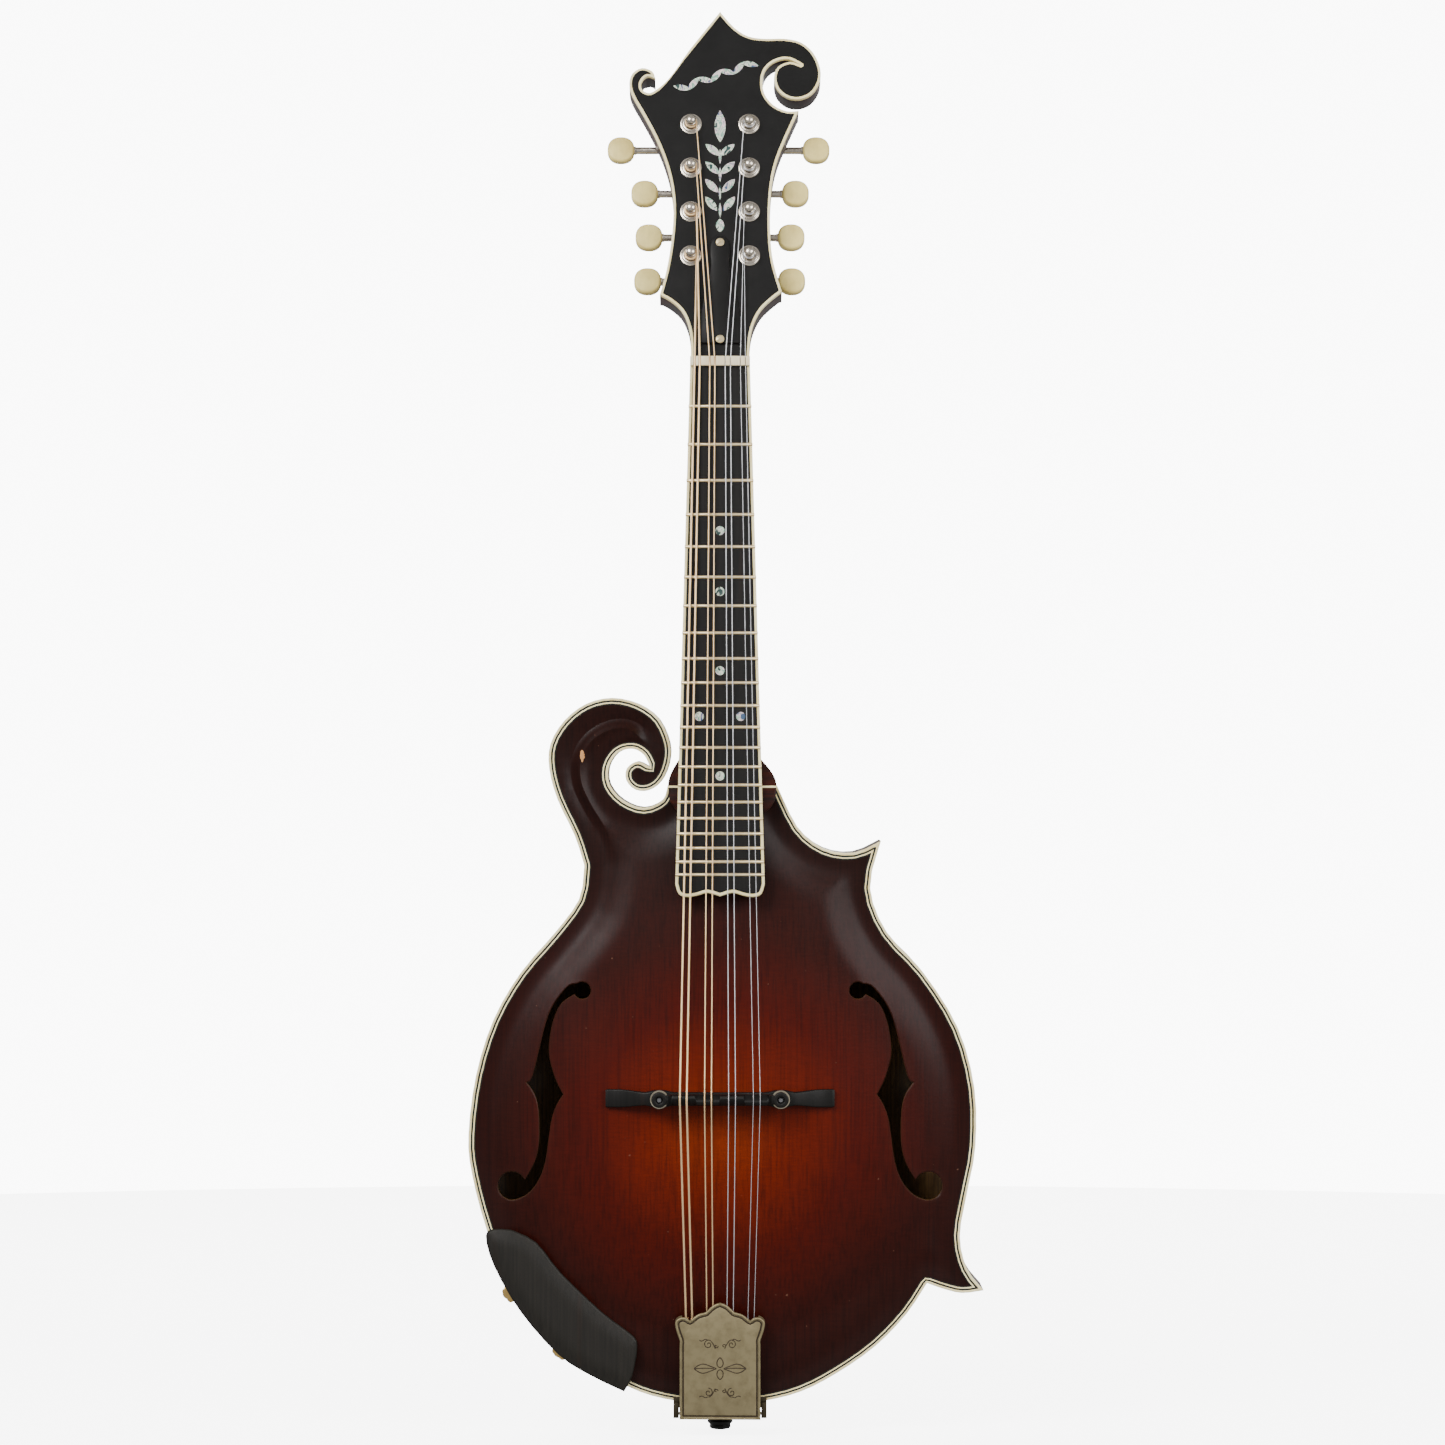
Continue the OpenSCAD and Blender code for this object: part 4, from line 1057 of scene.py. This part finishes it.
def gear_loop(teeth=14, root=3.05, tip=3.8):
    tooth = ((-0.34, root), (-0.17, tip - 0.1), (-0.1, tip), (0.1, tip), (0.17, tip - 0.1), (0.34, root))
    return [polar(r, 2 * pi * (k + part) / teeth) for k in range(teeth) for part, r in tooth]


def screw_head(radius, height, slot_turn):
    """Slotted screw head on the plane z = 0: a disc with two raised halves."""
    base = prism([disc(radius, steps=32)], 0, height * 0.45)
    slot = 0.2 * radius
    reach = acos(slot / radius)
    for s in (1, -1):
        arc = [(radius * sin(a), s * radius * cos(a)) for a in np.linspace(-reach, reach, 20)]
        base += prism([arc], height * 0.4, height, round_high=0.25 * height)
    return base.at(turned(slot_turn, "Z"))


def tuner_post(i):
    """A post with its gear, the string's coil and the bushing."""
    place = HEAD @ shifted(side(i) * POST_X, post_y(i), 0)
    string = string_of_post(i)
    r = STRING_R[string // 2]
    profile = [(0, WORM_H - 2), (1.9, WORM_H - 2), (2.1, WORM_H - 1.8), (2.45, WORM_H - 1.6), (2.45, 3.6),
               (2.35, 3.8), (WAIST_R, 3.9), (WAIST_R, 6.3), (2.2, 6.4), (1.6, 6.6), (1.5, 6.9), (1.7, 7.1),
               (2.25, 7.4), (2.45, 7.9), (2.5, 8.4), (2.4, 8.9), (2.15, 9.4), (1.7, 9.8), (1.1, 10.08),
               (0.5, 10.18), (0, 10.2)]
    gear = prism([gear_loop()], WORM_H - 1.6, WORM_H + 1.6, 0.2, 0.2)
    post = f"tuner_post_{i}"
    piece(post + "_turned", (lathe(profile) + gear).at(place), NICKEL, post, post)
    cap = screw_head(1.7, 0.5, 20 + 37 * i).at(place @ shifted(0, 0, WORM_H - 1.8) @ turned(180))
    piece(f"tuner_gear_screw_{i}", cap, BRASS, post)
    start = string_height(i)
    end = 4.0 + r if start > 5 else 6.1 - r
    count = max(2.0, abs(end - start) / (2.15 * r))
    phase = 0 if side(i) < 0 else pi
    path = helix(WAIST_R + r + 0.02, start, end - start, min(count, 4.5), phase, -side(i))
    paint, slot = (BRONZE, "bronze_wire") if string < 4 else (STEEL, "steel_wire")
    piece(f"string_coil_{i}", tube(path, r, 8).at(place), paint, post)

    ring = [(2.6, -5.8), (4.3, -5.8), (4.3, 2.2), (5.2, 2.2), (5.4, 2.35), (5.4, 2.6), (5.25, 2.8),
            (4.7, 2.85), (4.4, 3.0), (4.2, 3.35), (3.9, 3.5), (2.8, 3.5), (2.6, 3.4), (2.6, -5.8)]
    piece(f"tuner_bushing_{i}_turned", lathe(ring, 48).at(place), NICKEL,
          node="tuner_bushings" if i == 1 else None)


def tuner_shaft(i):
    """A worm shaft with its button, drawn along Z from the middle of the headstock outwards."""
    shaft = HEAD @ shifted(0, post_y(i) - WORM_DROP, WORM_H) @ turned(side(i) * 90, "Y")
    reach = BUTTON_X[i - 1]
    body = f"tuner_shaft_{i}"
    near, far = POST_X - 3.8, POST_X + 3.8
    rings = []
    for k, h in enumerate(np.linspace(near, far, 61)):
        tall = 0.46 * min(1, k / 4, (60 - k) / 4)
        rings.append([(*polar(1.62 + tall * max(0, cos(2 * pi * h / WORM_PITCH - a))**0.8, a), h)
                      for a in around(24)])
    worm = loft(rings)
    inner_rod = lathe([(0, 8.4), (1.3, 8.4), (SHAFT_R, 8.6), (SHAFT_R, near + 0.1), (0, near + 0.1)], 24)
    neck_end = reach - BUTTON_R
    outer_rod = lathe([(0, far - 0.1), (SHAFT_R, far - 0.1), (SHAFT_R, 20.9), (1.8, 21.1),
                       (1.8, neck_end - 0.9), (2.1, neck_end - 0.7), (2.1, neck_end), (1.2, neck_end + 0.3),
                       (1.2, reach), (0, reach)], 24)
    node = f"tuner_worm_{i}"
    piece(node + "_cut", (worm + inner_rod + outer_rod).at(shaft), NICKEL, body, node)
    blank = prism([disc(BUTTON_R + 0.05, 2.3, 72)], -2.6, 2.6, 1.5, 1.5, rounds=5)
    button = blank.at(HEAD @ shifted(side(i) * reach, post_y(i) - WORM_DROP, WORM_H))
    node = f"tuner_button_{i}"
    piece(node + "_polished", button, BUTTONS, body, node)


def plates_and_screws():
    softened("tuner_plates", 0.18, NICKEL)
    heads = []
    for s in (-1, 1):
        for k, y in enumerate((-9.6, 1.5 * POST_PITCH + 0.5, 3 * POST_PITCH + 7.5)):
            place = HEAD @ shifted(s * POST_X, POST_FIRST + y, -HEAD_T - 1) @ turned(180)
            heads.append(screw_head(1.9, 0.95, 30 + 50 * k).at(place))
        heads.append(screw_head(2.1, 1.15, 60 * s).at(BENCH @ shifted(s * 9, -1.2, 9) @ turned(90)))
    for y in (8.3, 58.9):
        heads.append(screw_head(2.1, 0.85, 40).at(HEAD @ shifted(0, y, HEADPLATE_T + 1.5)))
    piece("screw_heads", joined(heads), BRASS, node="screws")


# ---- strings ----

def string_x(k, place):
    pairs, gap = place
    return pairs[k // 2] + (-gap if k % 2 == 0 else gap)


def string_path(k):
    r = STRING_R[k // 2]
    post = 4 - k if k < 4 else k + 1
    hook = TAIL @ Vector((string_x(k, AT_TAIL), HOOK_Y + 1.4, HOOK_Z))
    saddle = BENCH @ Vector((string_x(k, AT_BRIDGE), BRIDGE_Y, SADDLE_Z + r + 0.1))
    over_nut = NECK @ Vector((string_x(k, AT_NUT), NUT_LEN / 2, 1.2 + r))
    inner = side(post) * (POST_X - WAIST_R - r - 0.02)
    end = HEAD @ Vector((inner, post_y(post) - 0.8, string_height(post)))
    path = [hook]
    for before, bend, after in ((hook, saddle, over_nut), (saddle, over_nut, end)):
        a = bend + (before - bend).normalized() * 0.0016
        b = bend + (after - bend).normalized() * 0.0016
        arc = [a.lerp(bend, t).lerp(bend.lerp(b, t), t) for t in (0.25, 0.5, 0.75)]
        path += [a] + [q + Vector((0, -0.00004, 0)) for q in arc] + [b]
    return path + [end]


def strings():
    for name, members, paint, slot in (("wound", range(4), BRONZE, "bronze_wire"),
                                       ("plain", range(4, 8), STEEL, "steel_wire")):
        shapes = []
        for k in members:
            r = STRING_R[k // 2]
            shapes.append(tube(string_path(k), r * 0.001, 12))
            eye = [(*polar(1.4, a), 0) for a in around(20)]
            x = string_x(k, AT_TAIL)
            shapes.append(tube(eye, min(r, 0.3), 8, closed=True).at(TAIL @ shifted(x, HOOK_Y, HOOK_Z)))
            place = TAIL @ shifted(x, HOOK_Y + 1.6, HOOK_Z) @ turned(-90) @ turned(14)
            shapes.append(tube(helix(r + 0.22, 0, 8, 9, 0, 1, 12), 0.2, 6).at(place))
        piece(f"strings_{name}_run", joined(shapes), paint, node=f"strings_{name}")


# ---- bridge ----

def bridge_base():
    """The base, whose two feet follow the arch of the top."""
    top_z = plate_height(TOP_RISE)
    xs = np.concatenate((np.linspace(-55.4, -54, 4), np.linspace(-52, 52, 53), np.linspace(54, 55.4, 4)))
    rings = []
    for x in xs:
        far = abs(x)
        half = 3.1 + 1.25 * ease((far - 35) / 14) + 1.0 * exp(-((far - STUD_X) / 5)**4)
        under = top_z(np.array([[x, BRIDGE_Y]]))[0] - 0.02
        if far < 9:
            under += 1.5 * ease((9 - far) / 5)
        crest = 41.0 - 1.2 * ease((20 - far) / 9) - 6.6 * ease((far - 33) / 20)
        if far > 54.4:
            half -= 0.35 * (far - 54.4)
            crest -= 0.3 * (far - 54.4)
        crest = max(crest, under + 2.0)
        section = rectangle(-half, under, half, crest, min(0.7, half * 0.6, (crest - under) * 0.4), 4)
        rings.append([(x, BRIDGE_Y + q, z) for q, z in section])
    piece("bridge_base_carved", loft(rings).at(BENCH), EBONY, node="bridge_base")


def bridge_saddle():
    """The saddle: a crest that steps to and fro under the four pairs, and a flat ear on each stud."""
    rings = []
    low = 45.3
    for x in np.linspace(-26.4, 26.4, 107):
        far = abs(x)
        half = 2.7 - 0.5 * ease((far - 22) / 3)
        crowned = far < 23
        high = SADDLE_Z - 2.6 * ease((far - 23) / 2)
        step = (0.9, -0.7, 0.7, -0.9)[min(3, max(0, int((x + 23.4) // 11.7)))] if crowned else 0
        flat = 1.35 if crowned else 1.5
        drop = 3.4 if crowned else 0.8
        rings.append([(x, BRIDGE_Y + q, z) for q, z in (
            (half, low + 0.3), (half - 0.3, low), (-half + 0.3, low), (-half, low + 0.3),
            (-half, high - drop), (-half + 0.4, high - 0.85 * drop), (-flat + step, high - 0.2 * drop),
            (-0.5 + step, high - 0.1), (step, high), (0.5 + step, high - 0.08),
            (flat + step, high - 0.2 * drop), (half - 0.4, high - 0.85 * drop), (half, high - drop))])
    saddle = loft(rings)
    for s in (-1, 1):
        stud = (s * STUD_X, BRIDGE_Y)
        saddle += prism([disc(3.7, centre=stud), disc(1.6, steps=32, centre=stud)], low, 50.5, 0.3, 0.5)
    piece("bridge_saddle_carved", saddle.at(BENCH), EBONY, "bridge_saddle", "bridge_saddle")


def bridge_studs():
    studs = []
    for s, name in ((-1, "bass"), (1, "treble")):
        place = BENCH @ shifted(s * STUD_X, BRIDGE_Y, 0)
        thread = [(0, 36)] + [(1.46 if k % 2 else 1.3, 36 + 0.25 * k) for k in range(48)]
        thread += [(1.3, 48.2), (1.1, 48.75), (0, 48.8)]
        studs.append(lathe(thread, 24).at(place))
        knurl = [q * (1 if k % 2 else 0.96) for k, q in enumerate(disc(4.5, steps=96))]
        wheel = prism([knurl, disc(1.58, steps=32)], 42.6, 45.0, 0.3, 0.3).at(place)
        node = f"bridge_wheel_{name}"
        piece(node + "_knurled", wheel, WHEEL, node, node)
    piece("bridge_studs_threaded", joined(studs), ROD, node="bridge_studs")


# ---- tailpiece ----

def spiral(centre, size, turns_made, start, hand):
    """A flat scroll that winds in to a point."""
    out = []
    for t in np.linspace(0, 1, 26):
        x, y = polar(size * (1 - 0.82 * t), start + hand * 2 * pi * turns_made * t)
        out.append((centre[0] + x, centre[1] + y))
    return out


def ornaments():
    """Centre lines of the engraving: two runs of scrolls and a lozenge of leaves between them."""
    lines = []
    mid = 19.2
    for y, s in ((31, 1), (7.5, -1)):
        for hand in (-1, 1):
            lines.append(spiral((hand * 5.6, y), 2.2, 1.25, pi / 2, -hand * s))
            lines.append([(hand * (5.6 - 0.3 * k), y + s * (2.2 - 0.035 * k * k)) for k in range(12)])
            lines.append([(hand * (6 + 0.5 * k), y + s * (2.1 + 0.45 * sin(k * 0.8))) for k in range(9)])
            lines.append(spiral((hand * 1.9, y - s * 0.8), 1.0, 0.9, 0, hand * s))
    for hand in (-1, 1):
        for s in (-1, 1):
            lines.append(curve([(hand * 12.5, mid), (hand * 8.5, mid + s * 2.2), (hand * 4.2, mid + s),
                                (hand * 1.8, mid)], 0.5))
            lines.append(curve([(0, mid + s * 5.4), (hand * 1.5, mid + s * 3), (hand * 1.1, mid + s * 1.2),
                                (0, mid + s * 0.5)], 0.4))
        lines.append(curve([(hand * 12.5, mid), (hand * 8, mid + 0.2), (hand * 3, mid)], 0.6))
    return lines


def tailpiece():
    whole = contour("tailpiece_cover", TAIL, 8.4, 0.6, gap=0.2, straight=13)

    def opening(xy):
        """Lower edge of the skirt: lifted at the front, where the strings come out."""
        front = ease((xy[:, 1] - 35.5) / 1.5) * (np.abs(xy[:, 0]) < 18.6)
        return 2.0 + 5.6 * front

    skirt = prism([whole, inset(whole, 1.2)], opening, 9.0, round_high=0.55)
    field = [inset(whole, d) for d in (1.2, 1.35, 2.1)]
    panel = prism([field[0], field[1]], 7.8, 8.62, round_high=0.15)
    middle = prism([field[2]], 7.8, 8.62, round_high=0.15)
    groove = prism([field[1], field[2]], 7.8, 8.3)
    hinge = shifted(0, -3.6, 3.4) @ turned(90, "Y")
    barrel = lathe([(0.86, -19.6), (1.7, -19.6), (1.9, -19.4), (1.9, 19.4), (1.7, 19.6), (0.86, 19.6),
                    (0.86, -19.6)], 28).at(hinge)
    piece("tailpiece_cover_stamped", (skirt + panel + middle + barrel).at(TAIL), KHAKI,
          "tailpiece_cover", "tailpiece_cover")
    cuts = [groove] + [tube([(x, y, 8.48) for x, y in line], 0.3, 6) for line in ornaments()]
    piece("tailpiece_engraving", joined(cuts).at(TAIL), ENGRAVED, "tailpiece_cover")
    # The base's darker nickel is partly tarnish, partly painted shade under the cover
    softened("tailpiece_base", 0.2, TARNISH_AND_SHADE)
    pin = lathe([(0, -22.6), (0.6, -22.6), (0.8, -22.4), (0.8, 22.4), (0.6, 22.6), (0, 22.6)], 20)
    piece("hinge_pin_turned", pin.at(TAIL @ hinge), NICKEL, node="tailpiece_hinge_pin")
    knob = [(0, -14), (2.7, -14), (2.8, -13.8), (2.8, 1.25), (4.2, 1.25), (4.4, 1.5), (4.35, 3), (3.8, 4.5),
            (3.5, 6.5), (3.6, 8), (4.6, 8.9), (6, 9.9), (6.25, 10.3), (6.1, 10.7), (5.1, 11.6), (5, 11.9),
            (5.15, 12.3), (5.15, 13.1), (4.6, 13.8), (3, 14.2), (0, 14.3)]
    piece("end_pin_turned", lathe(knob, 48).at(BENCH @ turned(90)), EBONY, node="end_pin")


# ---- armrest ----

def armrest():
    rest = contour("armrest", BENCH, 26, 0.9)

    def crown(xy):
        return 27.2 + 1.4 * ease(distances(xy, rest) / 7)

    grid = hex_grid([rest], 3.0, 2.6)
    shape = prism([rest], 24.6, crown, round_low=0.5, round_high=1.1, extra=grid)
    piece("armrest_shaped", shape.at(BENCH), ARM_EBONY, node="armrest", sharp=50)
    barrel = [(1.4, -12), (2.7, -12), (3, -11.6), (3, -8.6), (2.7, -8.3), (2.7, -7.9), (3, -7.6), (3, 7.6),
              (2.7, 7.9), (2.7, 8.3), (3, 8.6), (3, 11.6), (2.7, 12), (1.4, 12), (1.4, -12)]
    rod = [(0, -24.3)] + [(1.28 if k % 2 else 1.12, -24.2 + 0.3 * k) for k in range(162)] + [(0, 24.5)]
    clamp = lathe(barrel, 36) + lathe(rod, 20)
    hook = rectangle(-1.4, -3.9, 12.4, 3.9, 1.6, 5)
    for low, high in ((22.9, 24.5), (-24.3, -22.7)):
        clamp += prism([hook], low, high, 0.25, 0.25)
    pad = rectangle(-0.6, -3.6, 12.2, 3.6, 1.4, 5)
    pad = prism([pad], 22.1, 22.9) + prism([pad], -22.7, -22.1)
    places = [BENCH @ shifted(x, y, 0) @ turned(turn, "Z")
              for x, y, turn in ((-103, 53.2, 35), (-78.3, 24.8, 50))]
    parts = [clamp.at(place) for place in places]
    pads = [pad.at(place) for place in places]
    piece("armrest_turnbuckles", joined(parts), GOLD, node="armrest_clamps")
    piece("armrest_pads", joined(pads), CORK)


# ---- what stays as CAD made it ----

def dress(node, material):
    """Gives a CAD node that no piece stands for its material."""
    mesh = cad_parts[node].data
    mesh.materials.clear()
    mesh.materials.append(material)


# ---- floor, lights and camera ----

def studio():
    low = cad_box[0][2] - 0.0004
    plan = disc(1.6, steps=96)
    mesh = bpy.data.meshes.new("floor")
    mesh.from_pydata([(x, y, low) for x, y in plan], [], [tuple(range(len(plan)))])
    mesh.materials.append(floor_paint())
    floor = in_scene("floor", mesh)
    floor.visible_diffuse = False
    floor.visible_glossy = False
    world = bpy.data.worlds.new("studio")
    world.use_nodes = True
    bpy.context.scene.world = world
    tree = world.node_tree
    sky = tree.nodes["Background"]
    path = tree.nodes.new("ShaderNodeLightPath")
    shade = tree.nodes.new("ShaderNodeMapRange")
    shade.inputs["To Min"].default_value = 0.5
    shade.inputs["To Max"].default_value = 10.0
    tree.links.new(path.outputs["Is Camera Ray"], shade.inputs["Value"])
    sky.inputs["Color"].default_value = (1, 1, 1, 1)
    tree.links.new(shade.outputs[0], sky.inputs["Strength"])
    for name, at, aim, width, power in (
        ("key", (-0.9, -1.5, 1.35), (0, 0, 0.35), 0.9, 46),
        ("fill", (1.2, -1.3, 0.9), (0, 0, 0.3), 1.1, 28),
        ("back", (0.6, 1.6, 1.3), (0, 0, 0.3), 1.2, 30),
        ("rim", (-1.5, 0.9, 0.8), (0, 0, 0.3), 0.9, 20),
    ):
        light = bpy.data.lights.new(name, "AREA")
        light.size = width
        light.energy = power
        lamp = in_scene(name, light)
        lamp.location = at
        lamp.rotation_euler = (Vector(aim) - Vector(at)).to_track_quat("-Z", "Y").to_euler()
    lens = bpy.data.cameras.new("camera")
    lens.sensor_width = 36
    lens.lens = 153.8
    camera = in_scene("camera", lens)
    camera.location = (0.0012, -3.019, height_of(331.2))
    camera.rotation_euler = (radians(90), 0, 0)
    bpy.context.scene.camera = camera


carved_top()
carved_back()
rim_and_binding()
neck_joint()
neck()
headstock()
fingerboard()
softened("nut", 0.25, BONE)
for number in range(1, 9):
    tuner_post(number)
    tuner_shaft(number)
plates_and_screws()
strings()
bridge_base()
bridge_saddle()
bridge_studs()
tailpiece()
armrest()
for node, paint in (("head_block", INNER_DARK), ("rim_blocks", INNER_DARK), ("linings", INNER_DARK),
                    ("tone_bars", INNER), ("truss_rod", ROD), ("fret_markers", PEARL),
                    ("headstock_inlay", PEARL)):
    dress(node, paint)
studio()
